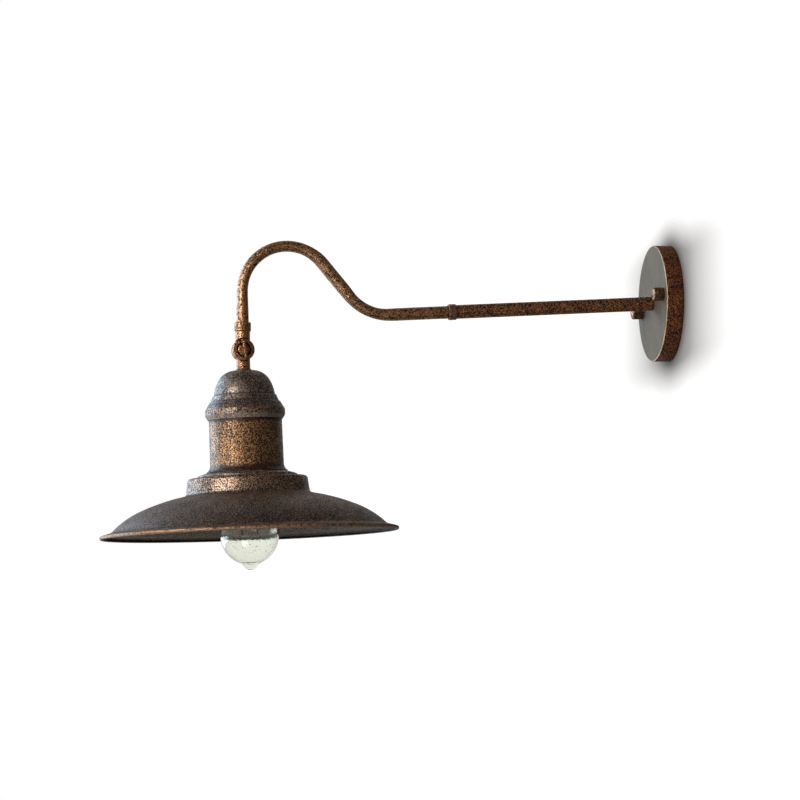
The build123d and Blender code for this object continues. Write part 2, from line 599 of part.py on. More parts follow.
def lower_knuckle():
    """Swinging half: the near disc with its screw recess, and the hollow stem."""
    half = rod(STEM_DIAMETER / 2, STEM_DROP, -STEM_DROP)
    groove_floor = STEM_DIAMETER / 2 - STEM_GROOVE_DEPTH
    half -= ring(STEM_DIAMETER, groove_floor, STEM_GROOVE_WIDTH, -STEM_GROOVE_DROP)
    half -= cross_rod(KNUCKLE_RADIUS + SHOULDER_GAP, -KNUCKLE_DIAMETER, SWING_FACE)
    groove_end = SWING_OUTSIDE - SHOULDER_GROOVE_DEPTH
    half -= cross_rod(KNUCKLE_RADIUS + SHOULDER_GAP, groove_end, KNUCKLE_DIAMETER)
    half += disc(SWING_FACE, SWING_OUTSIDE)
    half -= cross_rod(SCREW_RECESS_DIAMETER / 2, RECESS_FACE, SWING_OUTSIDE)
    half -= chamber(SWING_FACE, RECESS_FACE - RECESS_FLOOR)
    half -= Rot(Y=180) * passage(-SWING_PASSAGE, PIPE_TOP)
    half -= rod(PIPE_BORE / 2, STEM_DROP - NECK_BORE_FOOT, -STEM_DROP)
    half -= rod(PIPE_THREAD_RADIUS, HEAD_PIPE_IN_STEM, -STEM_DROP)
    half -= cross_rod(SCREW_DIAMETER / 2 + RUNNING_CLEARANCE, SWING_FACE, RECESS_FACE)
    return ON_SHADE * half


def knuckle_washer():
    """Friction ring between the two discs, on the fixed half."""
    outer = KNUCKLE_RADIUS - MOVING_GAP
    washer = cross_rod(outer, -WASHER_FACE, WASHER_FACE)
    return ON_LEG * (washer - cross_rod(outer - FRICTION_WASHER_WIDTH, -WASHER_FACE, WASHER_FACE))


def thumb_screw():
    """Screw through both discs, with a round head and a flat key."""
    head_foot = RECESS_FACE + MOVING_GAP
    head_face = head_foot + SCREW_HEAD_HEIGHT
    screw = cross_rod(SCREW_DIAMETER / 2, -FIXED_OUTSIDE - SCREW_TIP, head_foot)
    head = cross_rod(SCREW_HEAD_DIAMETER / 2, head_foot, head_face)
    head = fillet(head.edges().filter_by(GeomType.CIRCLE).sort_by(Axis.X)[-1], SCREW_HEAD_EDGE_RADIUS)
    screw += head
    blade = Box(KEY_REACH, KEY_THICKNESS, KEY_HEIGHT, align=(Align.MIN, Align.CENTER, Align.CENTER))
    outer_corners = blade.edges().filter_by(Axis.Y).sort_by(Axis.X)[-2:]
    screw += Pos(head_face, 0, 0) * Rot(X=KEY_LEAN) * fillet(outer_corners, KEY_CORNER_RADIUS)
    return ON_SHADE * screw


# --- Shade ------------------------------------------------------------------------------------
def stem_washer():
    """Thin ring between the stem and the dome."""
    blank = ring(STEM_WASHER_DIAMETER / 2, PIPE_THREAD_RADIUS, STEM_WASHER_THICKNESS, -DOME_TOP)
    return ON_SHADE * blank


def head_nipple():
    """Threaded pipe from the stem to the socket."""
    return ON_SHADE * ring(PIPE_RADIUS, PIPE_BORE / 2, HEAD_PIPE_LENGTH, -PIPE_FOOT)


def dome_washer():
    """Flat washer under the dome."""
    foot = -DOME_INSIDE - DOME_WASHER_THICKNESS - SEAT_GAP
    return ON_SHADE * ring(DOME_WASHER_DIAMETER / 2, PIPE_THREAD_RADIUS, DOME_WASHER_THICKNESS, foot)


def dome_nut():
    """Nut that clamps the dome to the stem."""
    foot = -DOME_INSIDE - DOME_WASHER_THICKNESS - SEAT_GAP - PIPE_NUT_HEIGHT
    return ON_SHADE * hex_nut(PIPE_NUT_WIDTH, PIPE_THREAD_RADIUS, PIPE_NUT_HEIGHT, foot)


def dome_cap():
    """Spun dome with two step lines, a bead and a hem that grips the neck."""
    def at(radius, drop):
        return (radius, -DOME_TOP - drop)

    crown = Line(at(PIPE_RADIUS + HOLE_CLEARANCE, 0), at(DOME_CROWN_RADIUS, 0))
    slope = (cos(radians(DOME_CROWN_SLOPE)), -sin(radians(DOME_CROWN_SLOPE)))
    shoulder = TangentArc(crown @ 1, at(DOME_SHOULDER_RADIUS, DOME_SHOULDER_DROP), tangent=slope)
    side = TangentArc(shoulder @ 1, at(DOME_SIDE_RADIUS, DOME_SIDE_DROP), tangent=shoulder % 1)
    points = [side @ 1]
    for radius, drop in DOME_STEPS:
        points.append(at(radius - DOME_STEP_WIDTH, drop - DOME_STEP_WIDTH / 2))
        points.append(at(radius, drop))
    points.append(at(DOME_CONE_FOOT_RADIUS, DOME_CONE_FOOT_DROP))
    points.append(at(DOME_BEAD_RADIUS, DOME_BEAD_TOP_DROP))
    points.append(at(DOME_BEAD_RADIUS, DOME_BEAD_FOOT_DROP))
    points.append(at(DOME_HEM_RADIUS, DOME_HEM_DROP))
    lower = Polyline(*points)
    bead_corners = lower.vertices().filter_by_position(
        Axis.X, DOME_BEAD_RADIUS - POINT_TOLERANCE, DOME_BEAD_RADIUS + POINT_TOLERANCE
    )
    lower = fillet(bead_corners, DOME_BEAD_FILLET)
    return ON_SHADE * spun(crown, shoulder, side, lower)


def shade_neck():
    """Spun cylinder with a flared foot."""
    top = (NECK_TOP_RADIUS, -NECK_TOP)
    flare_top = (NECK_FOOT_RADIUS, NECK_FLARE_HEIGHT - NECK_FOOT)
    wall = Line(top, flare_top)
    flare = TangentArc(wall @ 1, (NECK_FLARE_RADIUS, SHEET - NECK_FOOT), tangent=wall % 1)
    return ON_SHADE * spun(wall, flare)


def neck_flange():
    """Thin ring plate under the neck's foot, with its edge turned down."""
    outline = FilletPolyline(
        (FLANGE_OPENING_RADIUS, -NECK_FOOT),
        (FLANGE_LAND_RADIUS, -NECK_FOOT),
        (FLANGE_RADIUS, FLANGE_EDGE_HEIGHT - STEP_TOP),
        (FLANGE_RADIUS, -STEP_TOP),
        radius=FLANGE_FILLET,
    )
    return ON_SHADE * spun(outline)


def saucer():
    """Step band, bowl of two arcs, and an out-turned lip with a rolled rim."""
    def at(radius, drop):
        return (radius, -STEP_TOP - drop)

    step = FilletPolyline(
        at(SOCKET_BODY_DIAMETER / 2 + HOLE_CLEARANCE, 0),
        at(STEP_RADIUS, 0),
        at(STEP_FOOT_RADIUS, STEP_HEIGHT),
        at(BOWL_START_RADIUS, BOWL_START_DROP),
        radius=[STEP_EDGE_RADIUS, STEP_COVE_RADIUS],
    )
    slope = (cos(radians(BOWL_START_SLOPE)), -sin(radians(BOWL_START_SLOPE)))
    bowl = TangentArc(step @ 1, at(BOWL_MID_RADIUS, BOWL_MID_DROP), tangent=slope)
    rim_radius = SHADE_DIAMETER / 2
    lip_root = at(rim_radius - LIP_WIDTH, LIP_ROOT_DROP)
    skirt = TangentArc(bowl @ 1, lip_root, tangent=bowl % 1)
    root_turn = -(skirt % 1).get_signed_angle(Vector(1, 0), Vector(0, 0, 1))
    root = JernArc(skirt @ 1, skirt % 1, LIP_ROOT_FILLET, -root_turn - LIP_SLOPE)
    flange_end = rim_radius - LIP_ROLL_RADIUS * (1 - sin(radians(LIP_SLOPE)))
    flange_length = (flange_end - (root @ 1).X) / cos(radians(LIP_SLOPE))
    flange = Line(root @ 1, root @ 1 + (root % 1) * flange_length)
    roll = JernArc(flange @ 1, flange % 1, LIP_ROLL_RADIUS, -LIP_ROLL_TURN)
    return ON_SHADE * spun(step, bowl, skirt, root, flange, roll)


def shade_ring(top, height):
    """Clamp ring on the socket body's thread."""
    bore = SOCKET_BODY_DIAMETER / 2 + THREAD_CLEARANCE
    return ON_SHADE * ring(SHADE_RING_DIAMETER / 2, bore, height, -top - height)


# --- Socket -----------------------------------------------------------------------------------
def socket_nut():
    """Nut that locks the socket's cap to the pipe."""
    return ON_SHADE * hex_nut(PIPE_NUT_WIDTH, PIPE_THREAD_RADIUS, PIPE_NUT_HEIGHT, -SOCKET_CAP_TOP)


def socket_cap():
    """Upper half of the socket, with a threaded hub."""
    outer = SOCKET_CAP_DIAMETER / 2
    cap = rod(outer, SOCKET_CAP_LENGTH, -SOCKET_BODY_TOP)
    cap -= rod(outer - SOCKET_CAP_WALL, SOCKET_CAP_LENGTH - SOCKET_CAP_WALL, -SOCKET_BODY_TOP)
    cap += rod(SOCKET_HUB_DIAMETER / 2, PIPE_IN_SOCKET, -PIPE_FOOT)
    return ON_SHADE * (cap - rod(PIPE_THREAD_RADIUS, PIPE_IN_SOCKET, -PIPE_FOOT))


def socket_body():
    """Lower half of the socket: terminal room, floor and bore for the bulb."""
    outer = SOCKET_BODY_DIAMETER / 2
    foot = -SOCKET_BODY_TOP - SOCKET_BODY_LENGTH
    body = rod(outer, SOCKET_BODY_LENGTH, foot)
    body -= rod(outer - SOCKET_BODY_WALL, SOCKET_TERMINAL_ROOM, -SOCKET_FLOOR_TOP)
    bore_length = SOCKET_BODY_LENGTH - SOCKET_TERMINAL_ROOM - SOCKET_FLOOR
    body -= rod(SOCKET_BORE / 2, bore_length, foot)
    screw_hole = rod(TERMINAL_SCREW_DIAMETER / 2 + THREAD_CLEARANCE, SOCKET_FLOOR, -SOCKET_FLOOR_FOOT)
    for side in (1, -1):
        body -= Pos(side * TERMINAL_SCREW_OFFSET, 0, 0) * screw_hole
    return ON_SHADE * body


def screw_shell():
    """Brass shell that takes the bulb's cap, with a tab under the neutral screw."""
    outer = SOCKET_BORE / 2 - THREAD_CLEARANCE
    shell = ring(outer, outer - SHELL_THICKNESS, SHELL_LENGTH, -SOCKET_FLOOR_FOOT - SHELL_LENGTH)
    tab = ring(outer, SHELL_TAB_RADIUS, SHELL_THICKNESS, -SOCKET_FLOOR_FOOT - SHELL_THICKNESS)
    tab &= Box(outer, TONGUE_WIDTH, 2 * STEP_TOP, align=(Align.MAX, Align.CENTER, Align.CENTER))
    gap_length = outer + SHELL_THICKNESS
    gap_width = TONGUE_WIDTH + 2 * SHELL_THICKNESS
    gap_height = 2 * (MOVING_GAP + TONGUE_THICKNESS)
    gap = Box(gap_length, gap_width, gap_height, align=(Align.MIN, Align.CENTER, Align.CENTER))
    return ON_SHADE * (shell + tab - Pos(0, 0, -SOCKET_FLOOR_FOOT) * gap)


def contact_tongue():
    """Spring strip on the socket's floor, from the line screw to the bulb's tip contact."""
    length = TERMINAL_SCREW_OFFSET + TERMINAL_SCREW_DIAMETER / 2 + TONGUE_OVERHANG
    strip = Box(length, TONGUE_WIDTH, TONGUE_THICKNESS, align=(Align.MIN, Align.CENTER, Align.MIN))
    return ON_SHADE * Pos(-TONGUE_OVERHANG, 0, -TONGUE_FOOT) * strip


def terminal_screws():
    """Two screws through the socket's floor, onto the tongue and the shell's tab."""
    shank_length = TERMINAL_HEAD_FOOT - SOCKET_FLOOR_FOOT
    screw = rod(TERMINAL_SCREW_DIAMETER / 2, -shank_length, -SOCKET_FLOOR_FOOT)
    screw += rod(TERMINAL_HEAD_DIAMETER / 2, TERMINAL_HEAD_HEIGHT, -TERMINAL_HEAD_FOOT)
    screw = slotted(screw, TERMINAL_HEAD_DIAMETER, TERMINAL_HEAD_HEIGHT - TERMINAL_HEAD_FOOT)
    return group(ON_SHADE * Pos(side * TERMINAL_SCREW_OFFSET, 0, 0) * screw for side in (1, -1))


# --- Bulb -------------------------------------------------------------------------------------
def bulb_glass():
    """Clear envelope with a drawn tip, open at its throat."""
    radius = BULB_DIAMETER / 2
    root_rise = sqrt(radius ** 2 - BULB_TIP_ROOT_RADIUS ** 2)
    tip = FilletPolyline(
        (0, -BULB_TIP),
        (BULB_TIP_RADIUS, -BULB_TIP),
        (BULB_TIP_WAIST_RADIUS, BULB_TIP_LENGTH - BULB_TIP),
        (BULB_TIP_ROOT_RADIUS, -BULB_CENTRE - root_rise),
        radius=[BULB_TIP_FILLET, BULB_TIP_WAIST_FILLET],
    )
    angle = radians(BULB_SHOULDER_ANGLE)
    shoulder = (radius * cos(angle), radius * sin(angle) - BULB_CENTRE)
    ball = ThreePointArc(tip @ 1, (radius, -BULB_CENTRE), shoulder)
    taper_height = (shoulder[0] - BULB_NECK_RADIUS) / tan(angle)
    throat_step = BULB_NECK_RADIUS - BULB_THROAT_RADIUS
    neck = FilletPolyline(
        shoulder,
        (BULB_NECK_RADIUS, shoulder[1] + taper_height),
        (BULB_NECK_RADIUS, -BULB_CAP_FOOT - throat_step - SEAT_GAP),
        (BULB_THROAT_RADIUS, -BULB_CAP_FOOT - SEAT_GAP),
        (BULB_THROAT_RADIUS, -THROAT_TOP),
        radius=[BULB_NECK_FILLET, BULB_THROAT_FILLET, BULB_THROAT_FILLET],
    )
    return ON_SHADE * spun(tip, ball, neck, thickness=GLASS_THICKNESS, inside=Side.LEFT)


def bulb_cap():
    """Screw base of thin sheet, its thread left plain."""
    radius = BULB_CAP_DIAMETER / 2
    inner = radius - BULB_CAP_SHEET
    return ON_SHADE * ring(radius, inner, BULB_CAP_LENGTH, -BULB_CAP_FOOT)


def bulb_insulator():
    """Glass ring between the screw base and the tip contact, sunk into the base."""
    inner = BULB_CAP_DIAMETER / 2 - BULB_CAP_SHEET
    cone = upright_cone(inner, BULB_INSULATOR_DIAMETER / 2, BULB_INSULATOR_HEIGHT, -BULB_CAP_TOP)
    plug = rod(inner, BULB_INSULATOR_HEIGHT, -BULB_CAP_TOP - BULB_INSULATOR_HEIGHT)
    return ON_SHADE * (cone + plug)


def bulb_contact():
    """Tip contact."""
    foot = -BULB_TOP - BULB_CONTACT_HEIGHT
    return ON_SHADE * rod(BULB_CONTACT_DIAMETER / 2, BULB_CONTACT_HEIGHT, foot)


def bulb_stem():
    """Glass mount: flare in the throat, tube and the rod that carries the cage."""
    flare_radius = BULB_THROAT_RADIUS - GLASS_THICKNESS - SEAT_GAP
    flare_foot = THROAT_TOP + MOUNT_FLARE_LENGTH
    stem = upright_cone(MOUNT_RADIUS, flare_radius, MOUNT_FLARE_LENGTH, -flare_foot)
    stem += rod(MOUNT_RADIUS, MOUNT_FOOT - flare_foot, -MOUNT_FOOT)
    stem += rod(ROD_RADIUS, ROD_LENGTH, -MOUNT_FOOT - ROD_LENGTH)
    return ON_SHADE * stem


def anchors():
    """Points that the filament passes, in turn on the upper and the lower ring."""
    top = -MOUNT_FOOT - CAGE_INSET
    foot = CAGE_INSET - MOUNT_FOOT - ROD_LENGTH
    step = 180 / CAGE_ANCHORS
    for index in range(2 * CAGE_ANCHORS):
        radius, height = (CAGE_FOOT_RADIUS, foot) if index % 2 else (CAGE_TOP_RADIUS, top)
        angle = radians(index * step)
        yield Vector(radius * cos(angle), radius * sin(angle), height)


def bar(start, end, radius):
    """Straight round bar between two points."""
    return Plane(origin=start, z_dir=end - start) * rod(radius, (end - start).length)


def bulb_supports():
    """Support wires from the glass rod to each anchor, and two lead wires up to the mount."""
    wires = []
    for anchor in anchors():
        outward = Vector(anchor.X, anchor.Y, 0).normalized()
        hub = outward * ROD_RADIUS + Vector(0, 0, anchor.Z)
        wires.append(bar(hub, anchor - outward * FILAMENT_RADIUS, SUPPORT_RADIUS))
    upper_ring = [anchor for anchor in anchors() if anchor.Z > -MOUNT_FOOT - ROD_LENGTH / 2]
    for anchor in (upper_ring[0], upper_ring[-1]):
        outward = Vector(anchor.X, anchor.Y, 0).normalized()
        foot = outward * (MOUNT_RADIUS - SUPPORT_RADIUS) + Vector(0, 0, anchor.Z + SUPPORT_RADIUS)
        wires.append(bar(foot, foot + Vector(0, 0, CAGE_INSET - SUPPORT_RADIUS), SUPPORT_RADIUS))
    return group(ON_SHADE * wire for wire in wires)


def filament():
    """One unbroken zigzag round the cage."""
    points = list(anchors())
    thread = Pos(*points[0]) * Sphere(FILAMENT_RADIUS)
    for start, end in zip(points, points[1:]):
        thread += bar(start, end, FILAMENT_RADIUS)
        thread += Pos(*end) * Sphere(FILAMENT_RADIUS)
    return ON_SHADE * thread


# --- Wiring -----------------------------------------------------------------------------------
def arm_wire(side):
    """Wire from its connector in the canopy, through the arm and gooseneck, to the knuckle."""
    x = side * WIRE_SPREAD
    nipple_line = CANOPY_DEPTH - CANOPY_WIRE_DEPTH
    turn = Vector(x, -CANOPY_WIRE_DEPTH, nipple_line * tan(radians(ARM_DROOP)))
    neck_line = gooseneck_line(x)
    in_canopy = FilletPolyline(
        (side * CONNECTOR_OFFSET, -CONNECTOR_DEPTH, CONNECTOR_HEIGHT + CONNECTOR_BORE_DEPTH),
        (side * CONNECTOR_OFFSET, -CONNECTOR_DEPTH, CONNECTOR_HEIGHT - WIRE_BEND_RADIUS),
        (x, -CANOPY_WIRE_DEPTH, 2 * WIRE_BEND_RADIUS),
        turn,
        neck_line[0] @ 0,
        radius=[WIRE_BEND_RADIUS, WIRE_BEND_RADIUS, NIPPLE_BEND_RADIUS],
    )
    leg = neck_line[-1]
    pivot = ON_LEG.position
    sway_top = Vector(x, pivot.Y, pivot.Z + WIRE_SWAY_START)
    sway_foot = sway_top - Vector(FIXED_PASSAGE, 0, WIRE_SWAY_LENGTH)
    end = Vector(sway_foot.X, pivot.Y, pivot.Z + WIRE_ENTRY)
    into_knuckle = FilletPolyline(leg @ 0, sway_top, sway_foot, end, radius=WIRE_SWAY_RADIUS)
    return tube_along([in_canopy, *neck_line[:-1], into_knuckle])


def head_wire(side):
    """Wire from the knuckle down the stem and pipe to its terminal screw."""
    x = HEAD_WIRE_SHIFT + side * WIRE_SPREAD
    knuckle_x = SWING_PASSAGE + side * WIRE_SPREAD
    fan_top = SOCKET_CAP_TOP + WIRE_FAN_DROP
    terminal_drop = SOCKET_FLOOR_TOP - WIRE_RADIUS
    reach = TERMINAL_SCREW_OFFSET - TERMINAL_SCREW_DIAMETER / 2 - WIRE_GAP
    route = FilletPolyline(
        (knuckle_x, 0, -WIRE_ENTRY),
        (knuckle_x, 0, -NECK_BORE_FOOT),
        (x, 0, -PIPE_TOP),
        (x, 0, -fan_top),
        (side * (reach - WIRE_BEND_RADIUS), 0, -terminal_drop),
        (side * reach, 0, -terminal_drop),
        radius=[WIRE_SWAY_RADIUS, WIRE_SWAY_RADIUS, WIRE_BEND_RADIUS, WIRE_BEND_RADIUS],
    )
    return ON_SHADE * tube_along([route])


# --- Nodes ------------------------------------------------------------------------------------
NODES = {
    "canopy": canopy(),
    "crossbar": crossbar(),
    "mounting_studs": mounting_studs(),
    "stud_nuts": stud_nuts(),
    "canopy_knob_upper": canopy_knob(1),
    "canopy_knob_lower": canopy_knob(-1),
    "canopy_nipple": canopy_nipple(),
    "bevel_washer": bevel_washer(),
    "arm_locknut": arm_locknut(),
    "ground_screw": ground_screw(),
    "ground_lead": ground_lead(),
    "wire_connectors": wire_connectors(),
    "straight_arm": straight_arm(),
    "arm_coupling": arm_coupling(),
    "gooseneck": gooseneck(),
    "end_ferrule": end_ferrule(),
    "arm_wire_line": arm_wire(1),
    "arm_wire_neutral": arm_wire(-1),
    "upper_knuckle": upper_knuckle(),
    "lower_knuckle": lower_knuckle(),
    "knuckle_washer": knuckle_washer(),
    "thumb_screw": thumb_screw(),
    "stem_washer": stem_washer(),
    "head_nipple": head_nipple(),
    "dome_washer": dome_washer(),
    "dome_nut": dome_nut(),
    "dome_cap": dome_cap(),
    "shade_neck": shade_neck(),
    "neck_flange": neck_flange(),
    "saucer": saucer(),
    "upper_shade_ring": shade_ring(STEP_TOP - UPPER_RING_HEIGHT, UPPER_RING_HEIGHT),
    "lower_shade_ring": shade_ring(STEP_TOP + SHEET, LOWER_RING_HEIGHT),
    "socket_nut": socket_nut(),
    "socket_cap": socket_cap(),
    "socket_body": socket_body(),
    "screw_shell": screw_shell(),
    "contact_tongue": contact_tongue(),
    "terminal_screws": terminal_screws(),
    "bulb_glass": bulb_glass(),
    "bulb_cap": bulb_cap(),
    "bulb_insulator": bulb_insulator(),
    "bulb_contact": bulb_contact(),
    "bulb_stem": bulb_stem(),
    "bulb_supports": bulb_supports(),
    "filament": filament(),
    "head_wire_line": head_wire(1),
    "head_wire_neutral": head_wire(-1),
}

os.makedirs("parts", exist_ok=True)
for name, shape in NODES.items():
    export_step(shape, f"parts/{name}.step")
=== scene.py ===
import json
import logging
import math
import random
from dataclasses import dataclass, field
from enum import Enum

import bpy
from mathutils import Matrix, Vector


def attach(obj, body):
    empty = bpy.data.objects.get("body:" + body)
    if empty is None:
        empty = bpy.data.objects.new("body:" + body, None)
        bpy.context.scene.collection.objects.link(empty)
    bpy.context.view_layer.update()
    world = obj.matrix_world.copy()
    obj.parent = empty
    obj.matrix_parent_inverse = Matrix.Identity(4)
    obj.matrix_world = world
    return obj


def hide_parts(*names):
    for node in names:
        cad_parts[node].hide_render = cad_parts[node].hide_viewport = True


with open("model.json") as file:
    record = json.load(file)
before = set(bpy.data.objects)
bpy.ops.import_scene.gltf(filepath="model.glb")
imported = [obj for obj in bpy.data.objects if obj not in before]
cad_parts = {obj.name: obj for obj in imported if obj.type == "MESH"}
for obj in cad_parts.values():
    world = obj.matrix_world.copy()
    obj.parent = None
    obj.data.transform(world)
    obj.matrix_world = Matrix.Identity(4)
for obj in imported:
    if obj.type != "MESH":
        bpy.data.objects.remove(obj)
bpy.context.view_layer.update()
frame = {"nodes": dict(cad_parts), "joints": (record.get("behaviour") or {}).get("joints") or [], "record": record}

log = logging.getLogger("sconce")

Socket = bpy.types.NodeSocket
Node = bpy.types.Node
Tree = bpy.types.NodeTree
Material = bpy.types.Material
Piece = bpy.types.Object
Faces = list[tuple[int, ...]]
Sockets = bpy.types.bpy_prop_collection
Colour = tuple[float, float, float]
Value = Socket | float | Colour | Vector

# The screen colour curve: straight up to the knee, then a power.
SCREEN_LEVELS = 255
CURVE_KNEE = 0.04045
CURVE_SLOPE = 12.92
CURVE_LIFT = 0.055
CURVE_POWER = 2.4


def srgb(red: int, green: int, blue: int) -> Colour:
    """Turns a screen colour into a linear one.

    Args:
        red: 0 to 255.
        green: 0 to 255.
        blue: 0 to 255.

    Returns:
        The same colour in linear light.
    """
    def linear(level: int) -> float:
        """One channel in linear light."""
        share = level / SCREEN_LEVELS
        if share <= CURVE_KNEE:
            return share / CURVE_SLOPE
        return ((share + CURVE_LIFT) / (1 + CURVE_LIFT)) ** CURVE_POWER

    return linear(red), linear(green), linear(blue)


class Sock(Enum):
    """Kinds of socket on a node group."""

    NUMBER = "NodeSocketFloat"
    VECTOR = "NodeSocketVector"


class Ride(Enum):
    """The bodies that pieces ride on."""

    FIXTURE = "fixture"
    BULB = "bulb"


class Graph:
    """Adds nodes to one shader tree and wires them."""

    def __init__(self, tree: Tree) -> None:
        """Keeps the tree that the nodes go into."""
        self.tree = tree

    def add(self, kind: str, **settings: object) -> Node:
        """Adds a node.

        Args:
            kind: the node's type without its ShaderNode prefix.
            settings: attributes to set on the node.

        Returns:
            The new node.
        """
        node = self.tree.nodes.new("ShaderNode" + kind)
        for name, value in settings.items():
            setattr(node, name, value)
        return node

    def feed(self, socket: Socket, value: Value) -> None:
        """Links a socket to a socket, or sets its constant."""
        if isinstance(value, Socket):
            self.tree.links.new(value, socket)
        elif isinstance(value, (tuple, list)) and socket.type == "RGBA":
            socket.default_value = (*value[:3], 1.0)
        else:
            socket.default_value = value

    def put(self, kind: str, *values: Value, **settings: object) -> Node:
        """Adds a node and feeds its inputs in their order."""
        node = self.add(kind, **settings)
        for socket, value in zip(node.inputs, values):
            self.feed(socket, value)
        return node

    def math(self, operation: str, *values: Value, clamp: bool = False) -> Socket:
        """Adds a Math node.

        Args:
            operation: the node's operation.
            values: its inputs.
            clamp: whether the result stays between 0 and 1.

        Returns:
            The result's socket.
        """
        return self.put("Math", *values, operation=operation, use_clamp=clamp).outputs[0]

    def noise(self, vector: Value, scale: Value, detail: float, roughness: float,
              distortion: float = 0.0) -> Socket:
        """Adds a noise texture and returns its value."""
        node = self.add("TexNoise", noise_dimensions="3D")
        self.wire(node, Vector=vector, Scale=scale, Detail=detail, Roughness=roughness,
                  Distortion=distortion)
        return node.outputs["Fac"]

    def remap(self, value: Value, low: Value, high: Value, to_low: Value = 0.0,
              to_high: Value = 1.0) -> Socket:
        """Maps a range to another with a smooth step."""
        node = self.add("MapRange", interpolation_type="SMOOTHSTEP")
        self.wire(node, Value=value, From_Min=low, From_Max=high, To_Min=to_low, To_Max=to_high)
        return node.outputs[0]

    def between(self, share: Value, first: Value, second: Value) -> Socket:
        """Goes smoothly from one number to another as the share goes from 0 to 1."""
        return self.remap(share, 0.0, 1.0, first, second)

    def rest(self, share: Value, clamp: bool = False) -> Socket:
        """What is left of 1 after a share."""
        return self.math("SUBTRACT", 1.0, share, clamp=clamp)

    def once_over(self, size: Value) -> Socket:
        """One over a size, the scale of a texture with features that large."""
        return self.math("DIVIDE", 1.0, size)

    def seeded_place(self, seed: Value) -> Socket:
        """The object's coordinates, moved by a seed so that equal textures differ."""
        place = self.add("TexCoord").outputs["Object"]
        return self.put("VectorMath", place, seed, operation="ADD").outputs[0]

    def blend(self, share: Value, first: Value, second: Value) -> Socket:
        """Mixes two colours by a share."""
        node = self.add("Mix", data_type="RGBA", blend_type="MIX")
        self.feed(node.inputs[0], share)
        self.feed(node.inputs[6], first)
        self.feed(node.inputs[7], second)
        return node.outputs[2]

    def group(self, tree: Tree, **values: Value) -> Node:
        """Places a node group with its own values.

        Args:
            tree: the group.
            values: its inputs by name, with underscores for blanks.

        Returns:
            The group's node.
        """
        node = self.add("Group", node_tree=tree)
        self.wire(node, **values)
        return node

    def wire(self, node: Node, **values: Value) -> None:
        """Feeds a node's inputs by name, with underscores for blanks."""
        for name, value in values.items():
            self.feed(node.inputs[name.replace("_", " ")], value)

    def times(self, first: Value, second: Value, clamp: bool = False) -> Socket:
        """Multiplies two numbers."""
        return self.math("MULTIPLY", first, second, clamp=clamp)

    def bump(self, height: Socket, distance: float, strength: float,
             normal: Socket | None = None) -> Socket:
        """Tilts a normal by a height and returns it."""
        node = self.add("Bump")
        self.wire(node, Strength=strength, Distance=distance, Height=height)
        if normal:
            self.feed(node.inputs["Normal"], normal)
        return node.outputs[0]


